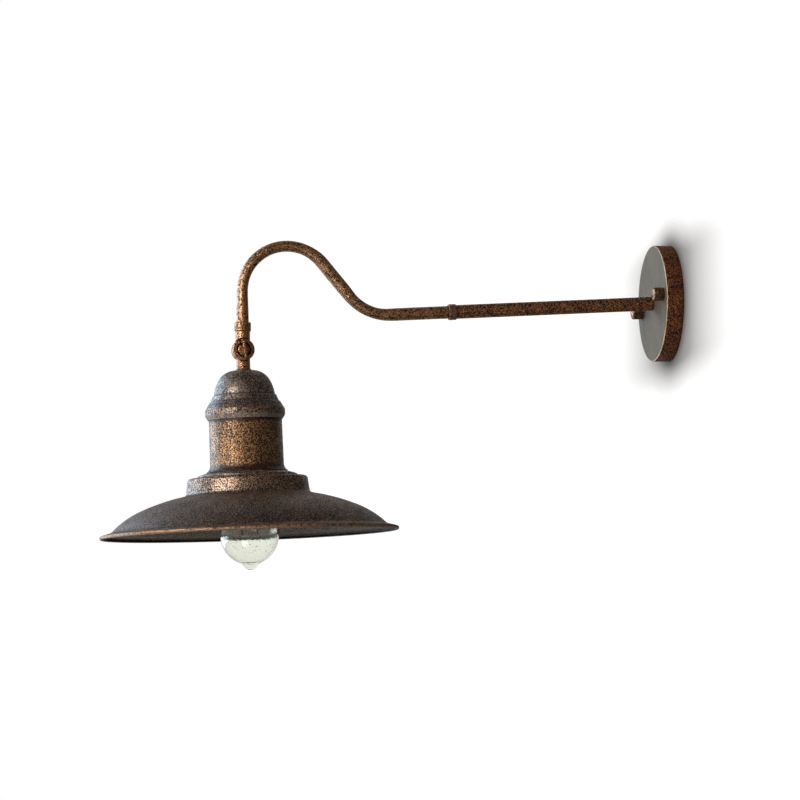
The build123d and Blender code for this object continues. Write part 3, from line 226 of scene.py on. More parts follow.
class Effects:
    """Shader effects that several finishes share, each built once as a node group."""

    # The noise lies mostly between these, so a coverage from 0 to 1 is spread over them.
    NOISE_FLOOR = 0.26
    NOISE_CEILING = 0.74
    # How far a rounded normal agrees with the real one off an edge and on it.
    OFF_EDGE = 0.995
    ON_EDGE = 0.86
    # The ambient occlusion of an open face and of a deep groove.
    OPEN_FACE = 0.90
    DEEP_GROOVE = 0.45
    TEAR = (0.30, 0.55)
    RAY_SAMPLES = 6

    def __init__(self) -> None:
        """Builds every group."""
        self.speckle = self._speckle()
        self.clouds = self._clouds()
        self.wear = self._wear()
        self.recess_shade = self._recess_shade()
        self.brushing = self._brushing()
        self.band = self._band()

    @staticmethod
    def _shell(name: str, inputs: dict[str, float],
               outputs: dict[str, Sock]) -> tuple[Graph, Sockets, Sockets]:
        """Makes an empty group.

        Args:
            name: the group's name.
            inputs: default of each input, all numbers.
            outputs: kind of each output.

        Returns:
            The group's graph, the sockets that it is given and those that it gives out.
        """
        tree = bpy.data.node_groups.new(name, "ShaderNodeTree")
        for label, default in inputs.items():
            tree.interface.new_socket(
                label, in_out="INPUT", socket_type=Sock.NUMBER.value).default_value = default
        for label, kind in outputs.items():
            tree.interface.new_socket(label, in_out="OUTPUT", socket_type=kind.value)
        given, out = (tree.nodes.new("NodeGroup" + way) for way in ("Input", "Output"))
        return Graph(tree), given.outputs, out.inputs

    def _speckle(self) -> Tree:
        """Fine irregular grains that gather in clumps."""
        graph, given, out = self._shell(
            "speckle",
            {"Grain": 0.0015, "Coverage": 0.4, "Softness": 0.05, "Clump Size": 0.012,
             "Clumping": 0.1, "Seed": 0.0},
            {"Mask": Sock.NUMBER})
        place = graph.seeded_place(given["Seed"])
        grains = graph.noise(place, graph.once_over(given["Grain"]), detail=2.0,
                             roughness=0.62, distortion=0.35)
        clumps = graph.noise(place, graph.once_over(given["Clump Size"]), detail=3.0,
                             roughness=0.6)
        sway = graph.times(graph.math("SUBTRACT", clumps, 0.5), given["Clumping"])
        level = graph.math("ADD", grains, sway)
        edge = graph.between(given["Coverage"], self.NOISE_CEILING, self.NOISE_FLOOR)
        low = graph.math("SUBTRACT", edge, given["Softness"])
        high = graph.math("ADD", edge, given["Softness"])
        graph.feed(out["Mask"], graph.remap(level, low, high))
        return graph.tree

    def _clouds(self) -> Tree:
        """Large soft patches."""
        graph, given, out = self._shell(
            "clouds", {"Size": 0.04, "Contrast": 0.15, "Seed": 0.0}, {"Mask": Sock.NUMBER})
        place = graph.seeded_place(given["Seed"])
        cloud = graph.noise(place, graph.once_over(given["Size"]), detail=4.0,
                            roughness=0.6, distortion=0.3)
        low = graph.math("SUBTRACT", 0.5, given["Contrast"])
        high = graph.math("ADD", 0.5, given["Contrast"])
        graph.feed(out["Mask"], graph.remap(cloud, low, high))
        return graph.tree

    def _wear(self) -> Tree:
        """Broken wear along edges, from how far a rounded normal leaves the real one."""
        graph, given, out = self._shell(
            "edge wear", {"Radius": 0.001, "Amount": 1.0, "Grain": 0.002, "Seed": 0.0},
            {"Mask": Sock.NUMBER, "Normal": Sock.VECTOR})
        rounded = graph.put("Bevel", given["Radius"], samples=self.RAY_SAMPLES).outputs[0]
        dot = graph.put("VectorMath", rounded, graph.add("NewGeometry").outputs["Normal"],
                        operation="DOT_PRODUCT")
        edge = graph.remap(dot.outputs["Value"], self.OFF_EDGE, self.ON_EDGE)
        place = graph.seeded_place(given["Seed"])
        broken = graph.noise(place, graph.once_over(given["Grain"]), detail=3.0, roughness=0.6)
        torn = graph.times(edge, graph.remap(broken, *self.TEAR))
        graph.feed(out["Mask"], graph.times(torn, given["Amount"], clamp=True))
        graph.feed(out["Normal"], rounded)
        return graph.tree

    def _recess_shade(self) -> Tree:
        """Painted shade in grooves and inner corners, darker where the ambient occlusion is deeper."""
        graph, given, out = self._shell(
            "recess_shade", {"Reach": 0.004, "Amount": 1.0}, {"Mask": Sock.NUMBER})
        hollow = graph.add("AmbientOcclusion", samples=self.RAY_SAMPLES, only_local=False)
        graph.feed(hollow.inputs["Distance"], given["Reach"])
        depth = graph.remap(hollow.outputs["AO"], self.OPEN_FACE, self.DEEP_GROOVE)
        graph.feed(out["Mask"], graph.times(depth, given["Amount"], clamp=True))
        return graph.tree

    def _brushing(self) -> Tree:
        """Fine streaks up and down."""
        graph, given, out = self._shell(
            "brushing", {"Width": 0.0008, "Length": 0.03, "Seed": 0.0}, {"Value": Sock.NUMBER})
        place = graph.seeded_place(given["Seed"])
        parts = graph.put("SeparateXYZ", place).outputs
        extents = (given["Width"], given["Width"], given["Length"])
        stretched = graph.put("CombineXYZ", *(graph.math("DIVIDE", part, extent)
                                              for part, extent in zip(parts, extents)))
        streaks = graph.noise(stretched.outputs[0], 1.0, detail=3.0, roughness=0.65)
        graph.feed(out["Value"], streaks)
        return graph.tree

    def _band(self) -> Tree:
        """A band across the shade's axis by its drops below the swivel, and the axis distance."""
        graph, given, out = self._shell(
            "band", {"Start": 0.0, "End": 0.1, "Fade": 0.004},
            {"Mask": Sock.NUMBER, "Distance": Sock.NUMBER})
        place = graph.put("VectorMath", graph.add("TexCoord").outputs["Object"], tuple(PIVOT),
                          operation="SUBTRACT").outputs[0]
        drop = graph.put("VectorMath", place, tuple(SHADE_AXIS),
                         operation="DOT_PRODUCT").outputs["Value"]
        low, high, fade = (given[name] for name in ("Start", "End", "Fade"))
        above = graph.remap(drop, low, graph.math("ADD", low, fade))
        below = graph.remap(drop, high, graph.math("SUBTRACT", high, fade))
        graph.feed(out["Mask"], graph.times(above, below))
        away = graph.put("VectorMath", place, tuple(SHADE_AXIS), operation="CROSS_PRODUCT")
        span = graph.put("VectorMath", away.outputs[0], operation="LENGTH")
        graph.feed(out["Distance"], span.outputs["Value"])
        return graph.tree


def joint_of(name: str) -> dict:
    """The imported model's joint of that name."""
    return next(joint for joint in frame["joints"] if joint["name"] == name)


PIVOT = Vector(joint_of("shade_tilt")["pos_m"])
SHADE_AXIS = Vector(joint_of("bulb_turn")["axis"]).normalized()


def new_material(name: str) -> tuple[Material, Graph, Node]:
    """Makes a material with a Principled BSDF.

    Args:
        name: the material's name.

    Returns:
        The material, its graph and its shader.
    """
    material = bpy.data.materials.new(name)
    material.use_nodes = True
    return material, Graph(material.node_tree), material.node_tree.nodes["Principled BSDF"]


def toned(colour: Colour, share: float) -> Colour:
    """The colour made darker to a share of itself."""
    return tuple(share * part for part in colour)


@dataclass(frozen=True)
class Grains:
    """How one layer of speckle is broken up."""

    softness: float
    clump_size: float
    clumping: float
    seed: float

    def mask(self, graph: Graph, effects: Effects, size: float, coverage: Value,
             seed: float = 0.0) -> Socket:
        """Lays the speckle.

        Args:
            graph: the material's graph.
            effects: the shared node groups.
            size: the grains' size, in metres.
            coverage: the share of the surface that they take.
            seed: the finish's own seed.

        Returns:
            The mask's socket.
        """
        return graph.group(effects.speckle, Grain=size, Coverage=coverage,
                           Softness=self.softness, Clump_Size=self.clump_size,
                           Clumping=self.clumping, Seed=seed + self.seed).outputs["Mask"]


@dataclass(frozen=True)
class Band:
    """A band round the shade, between two drops below the swivel, with its own patina and darkness."""

    start: float
    end: float
    coverage: float
    # The share of its colour that the band keeps; the rest goes to the painted-shade colour.
    light: float
    gloss: float


@dataclass(frozen=True)
class PatinaFinish:
    """Antique bronze: a dark lacquer with copper rubbed through it in fine grains."""

    name: str
    dark: Colour
    brown: Colour
    copper: Colour
    bright: Colour
    coverage: float
    gloss_coverage: float
    spots: float
    grain: float = 0.0016
    seed: float = 0.0
    metal: float = 0.12
    grain_metal: float = 0.9
    roughness: float = 0.42
    relief: float = 0.00040
    wear: float = 0.7
    # How strongly grooves and inner corners get painted shade.
    groove_shade: float = 0.85
    sheen: float = 0.5
    sheen_roughness: float = 0.3
    sheen_tint: Colour = (0.92, 0.96, 1.0)
    sheen_ior: float = 1.5
    bands: tuple[Band, ...] = ()
    band_fade: float = 0.004
    cloud_size: float = 0.035
    cloud_contrast: float = 0.16
    rubbed: Grains = Grains(0.028, 0.011, 0.16, 3.0)
    shiny: Grains = Grains(0.03, 0.02, 0.2, 11.0)
    shiny_size: float = 0.72
    spotted: Grains = Grains(0.018, 0.016, 0.14, 23.0)
    spotted_size: float = 0.95
    spot_tone: float = 0.5
    # The painted shade's colour, as a share of the dark colour, and how far its occlusion reaches.
    groove_tone: float = 0.2
    groove_reach: float = 0.0035
    edge_radius: float = 0.0011
    edge_grain: float = 0.0022
    edge_seed: float = 5.0
    micro_scale: float = 1100.0
    micro_roughness: float = 0.30
    micro_height: float = 0.9
    spot_roughness: float = 0.25
    rub_polish: float = 0.04
    spot_sheen: float = 0.08

    def material(self, effects: Effects) -> Material:
        """Builds the finish.

        Args:
            effects: the shared node groups.

        Returns:
            The material.
        """
        material, graph, shader = new_material(self.name)
        clouds = graph.group(effects.clouds, Size=self.cloud_size, Contrast=self.cloud_contrast,
                             Seed=self.seed).outputs["Mask"]
        base = graph.blend(clouds, self.dark, self.brown)
        # The colour of painted shade in grooves, at the dome's steps and under the bead.
        shade_colour = toned(self.dark, self.groove_tone)
        coverage: Value = self.coverage
        light: Value = 1.0
        gloss: Value = 1.0
        for band in self.bands:
            fade = min(self.band_fade, (band.end - band.start) / 2)
            inside = graph.group(effects.band, Start=band.start, End=band.end,
                                 Fade=fade).outputs["Mask"]
            coverage = graph.between(inside, coverage, band.coverage)
            light = graph.between(inside, light, band.light)
            gloss = graph.between(inside, gloss, band.gloss)
        rubbed = self.rubbed.mask(graph, effects, self.grain, coverage, self.seed)
        shiny = self.shiny.mask(graph, effects, self.grain * self.shiny_size,
                                self.gloss_coverage, self.seed)
        black = self.spotted.mask(graph, effects, self.grain * self.spotted_size, self.spots,
                                  self.seed)
        colour = graph.blend(rubbed, base, self.copper)
        colour = graph.blend(graph.times(shiny, rubbed), colour, self.bright)
        edge = graph.group(effects.wear, Radius=self.edge_radius, Amount=self.wear,
                           Grain=self.edge_grain, Seed=self.seed + self.edge_seed)
        colour = graph.blend(edge.outputs["Mask"], colour, self.bright)
        colour = graph.blend(black, colour, toned(self.dark, self.spot_tone))
        # Painted shade in grooves and inner corners, from ambient occlusion; it also takes the sheen away there.
        groove_shade = graph.group(effects.recess_shade, Reach=self.groove_reach,
                            Amount=self.groove_shade).outputs["Mask"]
        colour = graph.blend(groove_shade, colour, shade_colour)
        # Where a band keeps less of its colour, it is painted darker towards the painted-shade colour.
        if self.bands:
            colour = graph.blend(light, shade_colour, colour)
        bare = graph.times(rubbed, graph.rest(black))
        micro = graph.noise(graph.add("TexCoord").outputs["Object"], self.micro_scale,
                            detail=3.0, roughness=0.65)
        rough = graph.math("MULTIPLY_ADD", micro, self.micro_roughness,
                           self.roughness - self.micro_roughness / 2)
        rough = graph.math("MULTIPLY_ADD", black, self.spot_roughness, rough)
        rough = graph.math("MULTIPLY_ADD", rubbed, -self.rub_polish, rough)
        lacquer = graph.times(graph.between(black, 1.0, self.spot_sheen), self.sheen)
        lacquer = graph.math("SUBTRACT", graph.times(lacquer, gloss), groove_shade, clamp=True)
        height = graph.math("MULTIPLY_ADD", micro, self.micro_height, bare)
        normal = graph.bump(height, self.relief, 1.0, edge.outputs["Normal"])
        graph.wire(shader, Base_Color=colour, Roughness=rough,
                   Metallic=graph.between(bare, self.metal, self.grain_metal),
                   Specular_IOR_Level=0.5, Coat_Weight=lacquer, Coat_IOR=self.sheen_ior,
                   Coat_Roughness=self.sheen_roughness, Coat_Tint=self.sheen_tint, Normal=normal)
        return material


def laid_on(shader: Node) -> tuple[Socket, ...]:
    """What feeds a patina's colour, roughness, metal and sheen, so more can be laid over it."""
    return tuple(shader.inputs[name].links[0].from_socket
                 for name in ("Base Color", "Roughness", "Metallic", "Coat Weight"))


@dataclass(frozen=True)
class CanopyFinish:
    """Canopy: patina round the rim, a bare, brushed grey front, a painted highlight on its edge."""

    rim: PatinaFinish
    front: Colour
    shade: Colour
    # The colour of the painted highlight on the front's turned edge.
    edge: Colour
    # How far a face looks away from the wall where the front, and the painted highlight on its turned edge, take
    # over.
    front_turn: tuple[float, float] = (-0.90, -0.985)
    edge_turn: tuple[float, float] = (-0.35, -0.6)
    streak_reach: tuple[float, float] = (0.3, 0.7)
    stain: float = 0.45
    edge_metal: float = 0.8
    front_metal: float = 0.25
    front_roughness: float = 0.42
    streak_roughness: float = 0.15

    def material(self, effects: Effects) -> Material:
        """Builds the rim's patina, then lays a painted highlight on the turned edge and the brushed front over it.
        """
        material = self.rim.material(effects)
        graph = Graph(material.node_tree)
        shader = material.node_tree.nodes["Principled BSDF"]
        rim_colour, rim_rough, rim_metal, rim_sheen = laid_on(shader)
        facing = graph.put("SeparateXYZ", graph.add("NewGeometry").outputs["True Normal"])
        flat = graph.remap(facing.outputs["Y"], *self.front_turn)
        streak = graph.group(effects.brushing, Width=0.0011, Length=0.035, Seed=4.0).outputs[0]
        cloud = graph.group(effects.clouds, Size=0.03, Contrast=0.3, Seed=9.0).outputs[0]
        tone = graph.blend(graph.remap(streak, *self.streak_reach), self.shade, self.front)
        tone = graph.blend(graph.times(cloud, self.stain), tone, self.shade)
        # The turned edge gets a painted highlight, broken into patches, with more metal.
        turned = graph.times(graph.remap(facing.outputs["Y"], *self.edge_turn),
                            graph.rest(flat))
        patches = graph.remap(cloud, low=0.0, high=0.7, to_low=0.35, to_high=1.0)
        turned = graph.times(turned, patches)
        wear_and_highlight = graph.blend(turned, rim_colour, self.edge)
        rough = graph.math("MULTIPLY_ADD", streak, self.streak_roughness, self.front_roughness)
        bright = graph.between(turned, rim_metal, self.edge_metal)
        graph.wire(shader, Base_Color=graph.blend(flat, wear_and_highlight, tone),
                   Roughness=graph.between(flat, rim_rough, rough),
                   Metallic=graph.between(flat, bright, self.front_metal),
                   Coat_Weight=graph.between(flat, rim_sheen, 0.0))
        return material


@dataclass(frozen=True)
class ShadeFinish:
    """Shade: patina outside, a worn copper lip with a painted highlight and a dull blue-grey inside with flecks.
    """

    outside: PatinaFinish
    # The lip's colour: worn copper and a painted highlight.
    lip: Colour
    inside: Colour
    fleck: Colour
    lip_distance: float = 0.1513
    lip_blur: float = 0.0008
    # How far a face looks down the axis where the lining takes over.
    inward: tuple[float, float] = (0.1, 0.3)
    flecks: Grains = Grains(0.05, 0.012, 0.12, 31.0)
    pits: Grains = Grains(0.04, 0.014, 0.12, 37.0)
    pit_tone: float = 0.3
    breaks: Grains = Grains(0.08, 0.03, 0.15, 41.0)
    lining_roughness: float = 0.55
    lining_metal: float = 0.1
    lining_sheen: float = 0.1
    lip_metal: float = 0.8

    def material(self, effects: Effects) -> Material:
        """Builds the outside's patina, then lays the inside and the lip over it."""
        material = self.outside.material(effects)
        graph = Graph(material.node_tree)
        shader = material.node_tree.nodes["Principled BSDF"]
        colour, rough, metal, sheen = laid_on(shader)
        facing = graph.put("VectorMath", graph.add("NewGeometry").outputs["True Normal"],
                           tuple(SHADE_AXIS), operation="DOT_PRODUCT")
        under = graph.remap(facing.outputs["Value"], *self.inward)
        flecks = self.flecks.mask(graph, effects, size=0.0016, coverage=0.48)
        pits = self.pits.mask(graph, effects, size=0.0013, coverage=0.4)
        lining = graph.blend(flecks, self.inside, self.fleck)
        lining = graph.blend(pits, lining, toned(self.inside, self.pit_tone))
        colour = graph.blend(under, colour, lining)
        # The lip's bright line, worn copper and a painted highlight, broken into pieces.
        distance = graph.group(effects.band).outputs["Distance"]
        edge = graph.remap(distance, self.lip_distance, self.lip_distance + self.lip_blur)
        broken = self.breaks.mask(graph, effects, size=0.0030, coverage=0.54)
        wear_and_highlight = graph.times(edge, broken)
        colour = graph.blend(wear_and_highlight, colour, self.lip)
        metal = graph.between(under, metal, self.lining_metal)
        graph.wire(shader, Base_Color=colour,
                   Roughness=graph.between(under, rough, self.lining_roughness),
                   Metallic=graph.between(wear_and_highlight, metal, self.lip_metal),
                   Coat_Weight=graph.between(under, sheen, self.lining_sheen))
        return material


@dataclass(frozen=True)
class PlainFinish:
    """One-coloured metal, plastic or porcelain, with faint mottling, scratches and painted shade in grooves."""

    name: str
    colour: Colour
    metallic: float
    roughness: float
    variation: float = 0.25
    coat: float = 0.0
    bump: float = 0.25
    # How strongly grooves get painted shade, its colour as a share of the colour, and its reach.
    groove_shade: float = 0.6
    groove_tone: float = 0.25
    groove_reach: float = 0.002
    streak_roughness: float = 0.2
    relief: float = 0.00005
    edge_radius: float = 0.0004

    def material(self, effects: Effects) -> Material:
        """Builds the finish from the shared node groups."""
        material, graph, shader = new_material(self.name)
        clouds = graph.group(effects.clouds, Size=0.008, Contrast=0.3, Seed=2.0).outputs[0]
        tone = graph.blend(clouds, toned(self.colour, 1 - self.variation), self.colour)
        # Painted shade in grooves and inner corners, from ambient occlusion.
        groove_shade = graph.group(effects.recess_shade, Reach=self.groove_reach,
                            Amount=self.groove_shade).outputs["Mask"]
        tone = graph.blend(groove_shade, tone, toned(self.colour, self.groove_tone))
        streak = graph.group(effects.brushing, Width=0.0005, Length=0.006, Seed=7.0).outputs[0]
        rough = graph.math("MULTIPLY_ADD", streak, self.streak_roughness,
                           self.roughness - self.streak_roughness / 2)
        wear = graph.group(effects.wear, Radius=self.edge_radius, Amount=0.0, Grain=0.001,
                           Seed=1.0)
        normal = graph.bump(streak, self.relief, self.bump, wear.outputs["Normal"])
        graph.wire(shader, Base_Color=tone, Metallic=self.metallic, Roughness=rough,
                   Coat_Weight=self.coat, Normal=normal)
        return material


@dataclass(frozen=True)
class GlassFinish:
    """Clear glass with a faint tint, painted shade where it is seen edge-on, and slow waves in its surface."""

    name: str
    tint: Colour
    edge_on_shade: Colour
    roughness: float = 0.0
    wave: float = 0.0
    ior: float = 1.5
    reflection: float = 0.2
    # How steeply the glass is seen where the painted shade at its edge begins and where it is full.
    rim_slant: tuple[float, float] = (0.62, 0.98)
    wave_height: float = 0.0006

    def material(self, effects: Effects) -> Material:
        """Builds the glass."""
        material, graph, shader = new_material(self.name)
        slant = graph.add("LayerWeight")
        graph.wire(slant, Blend=0.5)
        # Painted shade where the glass is seen edge-on.
        rim = graph.remap(slant.outputs["Facing"], *self.rim_slant)
        graph.wire(shader, Base_Color=graph.blend(rim, self.tint, self.edge_on_shade),
                   Transmission_Weight=1.0, Specular_IOR_Level=self.reflection, IOR=self.ior,
                   Roughness=self.roughness)
        if self.wave:
            clouds = graph.group(effects.clouds, Size=0.012, Contrast=0.5, Seed=6.0).outputs[0]
            graph.wire(shader, Normal=graph.bump(clouds, self.wave_height, self.wave))
        return material


COPPER = srgb(164, 112, 68)
COPPER_BRIGHT = srgb(222, 176, 128)
CANOPY_PATINA = PatinaFinish(
    "canopy patina", srgb(20, 10, 6), srgb(112, 58, 28), srgb(206, 122, 62), srgb(240, 166, 100),
    coverage=0.58, gloss_coverage=0.34, spots=0.49, grain=0.0017, seed=1.0, sheen=0.1)
SHADE_PATINA = PatinaFinish(
    "shade patina", srgb(13, 10, 9), srgb(60, 33, 20), srgb(154, 106, 66), srgb(222, 172, 120),
    coverage=0.50, gloss_coverage=0.42, spots=0.50, grain=0.0014, seed=7.0, metal=0.25,
    grain_metal=0.75, sheen=1.0, sheen_roughness=0.44, sheen_ior=2.3,
    # The dark bands paint shade at the dome's step lines, its hem and under the bead; the last darkens the bowl.
    bands=(Band(0.0448, 0.0466, 0.1, 0.25, 0.5), Band(0.0515, 0.0533, 0.1, 0.25, 0.5),
           Band(0.0556, 0.0572, 0.2, 0.35, 0.5), Band(0.0580, 0.0680, 0.64, 0.95, 0.6),
           Band(0.0685, 0.0740, 0.1, 0.3, 0.2), Band(0.1285, 0.1460, 0.62, 0.95, 0.6),
           Band(0.1455, 0.2600, 0.45, 0.74, 0.30)))
FINISHES = {
    "canopy_bronze": CanopyFinish(
        CANOPY_PATINA, srgb(118, 101, 72), srgb(62, 54, 40), srgb(232, 206, 170)),
    "knob_bronze": PatinaFinish(
        "knob patina", srgb(24, 13, 8), srgb(78, 42, 22), srgb(176, 114, 64), COPPER_BRIGHT,
        coverage=0.58, gloss_coverage=0.45, spots=0.48, grain=0.0015, seed=2.0, roughness=0.26,
        sheen=0.3),
    "arm_bronze": PatinaFinish(
        "arm patina", srgb(16, 9, 6), srgb(96, 54, 29), srgb(198, 126, 74), srgb(240, 176, 116),
        coverage=0.62, gloss_coverage=0.36, spots=0.48, grain=0.0018, seed=3.0, sheen=0.25),
    "collar_bronze": PatinaFinish(
        "collar patina", srgb(30, 18, 12), srgb(84, 48, 28), srgb(158, 106, 66),
        srgb(218, 170, 120), coverage=0.60, gloss_coverage=0.36, spots=0.40, grain=0.0016,
        seed=4.0, roughness=0.42, sheen=0.4),
    "gooseneck_bronze": PatinaFinish(
        "gooseneck patina", srgb(20, 13, 9), srgb(92, 54, 31), COPPER, COPPER_BRIGHT,
        coverage=0.68, gloss_coverage=0.40, spots=0.40, grain=0.0022, seed=5.0, metal=0.3,
        grain_metal=0.8, roughness=0.36, sheen=0.6),
    "swivel_bronze": PatinaFinish(
        "swivel patina", srgb(20, 13, 9), srgb(98, 58, 34), srgb(166, 116, 74), COPPER_BRIGHT,
        coverage=0.66, gloss_coverage=0.36, spots=0.36, grain=0.0012, seed=6.0, metal=0.3,
        grain_metal=0.8, roughness=0.30, sheen=0.4, groove_shade=1.0),
    "shade_bronze": ShadeFinish(
        SHADE_PATINA, srgb(180, 132, 92), srgb(112, 116, 116), srgb(196, 160, 126)),
    "neck_bronze": PatinaFinish(
        "neck patina", srgb(15, 8, 5), srgb(90, 40, 18), srgb(160, 112, 66), srgb(236, 182, 118),
        coverage=0.60, gloss_coverage=0.44, spots=0.49, roughness=0.36, grain=0.0014, seed=8.0,
        metal=0.25, grain_metal=0.75, sheen=0.4, band_fade=0.009,
        # Painted shade under the dome's bead and on the darker, duller foot flare.
        bands=(Band(0.0560, 0.0780, 0.2, 0.30, 0.15), Band(0.1140, 0.1400, 0.30, 0.70, 1.0))),
    "bulb_glass": GlassFinish("bulb glass", (0.925, 0.938, 0.865), (0.78, 0.79, 0.62), wave=0.15),
    # The bubbles get a dark olive tint: painted shade for how they look in the glass.
    "bulb_seed": GlassFinish("bulb seeds", (0.52, 0.53, 0.40), (0.30, 0.31, 0.20)),
}
# Name, colour, metal, roughness and, where they differ, variation, coat and bump.
PLAIN_FINISHES = {
    "zinc_steel": ("zinc plate", srgb(176, 176, 178), 1.0, 0.38),
    "green_screw": ("green plate", srgb(60, 130, 74), 0.8, 0.35),
    "copper_lead": ("bare copper", srgb(198, 122, 82), 1.0, 0.35),
    "connector_plastic": ("connector plastic", srgb(224, 116, 40), 0.0, 0.45, 0.12),
    "black_insulation": ("black insulation", srgb(32, 32, 33), 0.0, 0.5, 0.2),
    "white_insulation": ("white insulation", srgb(226, 224, 218), 0.0, 0.5, 0.1),
    "fibre_washer": ("fibre washer", srgb(40, 34, 30), 0.0, 0.8, 0.3),
    "socket_plastic": ("black phenolic", srgb(38, 35, 33), 0.0, 0.4, 0.2),
    "porcelain": ("porcelain", srgb(232, 228, 216), 0.0, 0.35, 0.08, 0.6, 0.1),
    "brass": ("bright brass", srgb(206, 170, 100), 1.0, 0.32),
    "bulb_metal": ("lamp base metal", srgb(190, 188, 180), 1.0, 0.32),
    "black_glass": ("black glass", srgb(22, 22, 24), 0.0, 0.2, 0.2, 0.8),
    "solder": ("solder", srgb(170, 170, 172), 1.0, 0.5, 0.3),
    "support_wire": ("support wire", srgb(150, 140, 124), 1.0, 0.4),
    "tungsten": ("tungsten", srgb(92, 84, 76), 1.0, 0.5),
}
FINISHES.update({slot: PlainFinish(*row) for slot, row in PLAIN_FINISHES.items()})


class Wardrobe:
    """Makes each finish once and dresses pieces with it."""

    def __init__(self) -> None:
        """Builds the shared effects and every finish's material."""
        effects = Effects()
        self.materials = {slot: finish.material(effects) for slot, finish in FINISHES.items()}

    def dress_nodes(self) -> None:
        """Gives every carried-over CAD node its finish."""
        slots = {part["node"]: part["material_slot"] for part in frame["record"]["subparts"]}
        for name, node in frame["nodes"].items():
            self.paint(node, slots[name])
            log.info("node %s wears %s", name, slots[name])

    def paint(self, piece: Piece, slot: str) -> None:
        """Puts one finish on a piece."""
        piece.data.materials.clear()
        piece.data.materials.append(self.materials[slot])

    def own_piece(self, piece: Piece, slot: str, body: Ride, *nodes: str,
                  finish: str | None = None) -> Piece:
        """Finishes a new piece, seats it on its body and lets it stand for CAD nodes.

        Args:
            piece: the new object.
            slot: the record's material slot.
            body: the body it rides on.
            nodes: the CAD nodes that it replaces.
            finish: its finish, where it isn't the slot's own.

        Returns:
            The piece.
        """
        self.paint(piece, finish or slot)
        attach(piece, body.value)
        if nodes:
            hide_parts(*nodes)
        log.info("piece %s rides on %s", piece.name, body.value)
        return piece


def mesh_piece(name: str, points: list[Vector], faces: Faces,
               smooth: bool = True) -> Piece:
    """Makes a mesh object in the scene.

    Args:
        name: the object's name.
        points: its vertices, in metres.
        faces: corner numbers of each face.
        smooth: whether its faces are shaded smooth.

    Returns:
        The object.
    """
    mesh = bpy.data.meshes.new(name)
    mesh.from_pydata([tuple(point) for point in points], [], faces)
    mesh.validate()
    mesh.polygons.foreach_set("use_smooth", [smooth] * len(mesh.polygons))
    mesh.update()
    piece = bpy.data.objects.new(name, mesh)
    bpy.context.scene.collection.objects.link(piece)
    return piece


def loops_to_faces(loops: int, sides: int) -> Faces:
    """Faces between rings of points that follow each other, the last joined to the first.

    Args:
        loops: how many rings there are.
        sides: points in each ring.

    Returns:
        The faces' corner numbers.
    """
    faces = []
    for loop in range(loops):
        here, after = loop * sides, (loop + 1) % loops * sides
        for side in range(sides):
            turn = (side + 1) % sides
            faces.append((here + side, here + turn, after + turn, after + side))
    return faces


def upright(heading: float) -> Vector:
    """The direction a quarter turn left of a heading in the YZ plane."""
    return Vector((0.0, -math.sin(heading), math.cos(heading)))


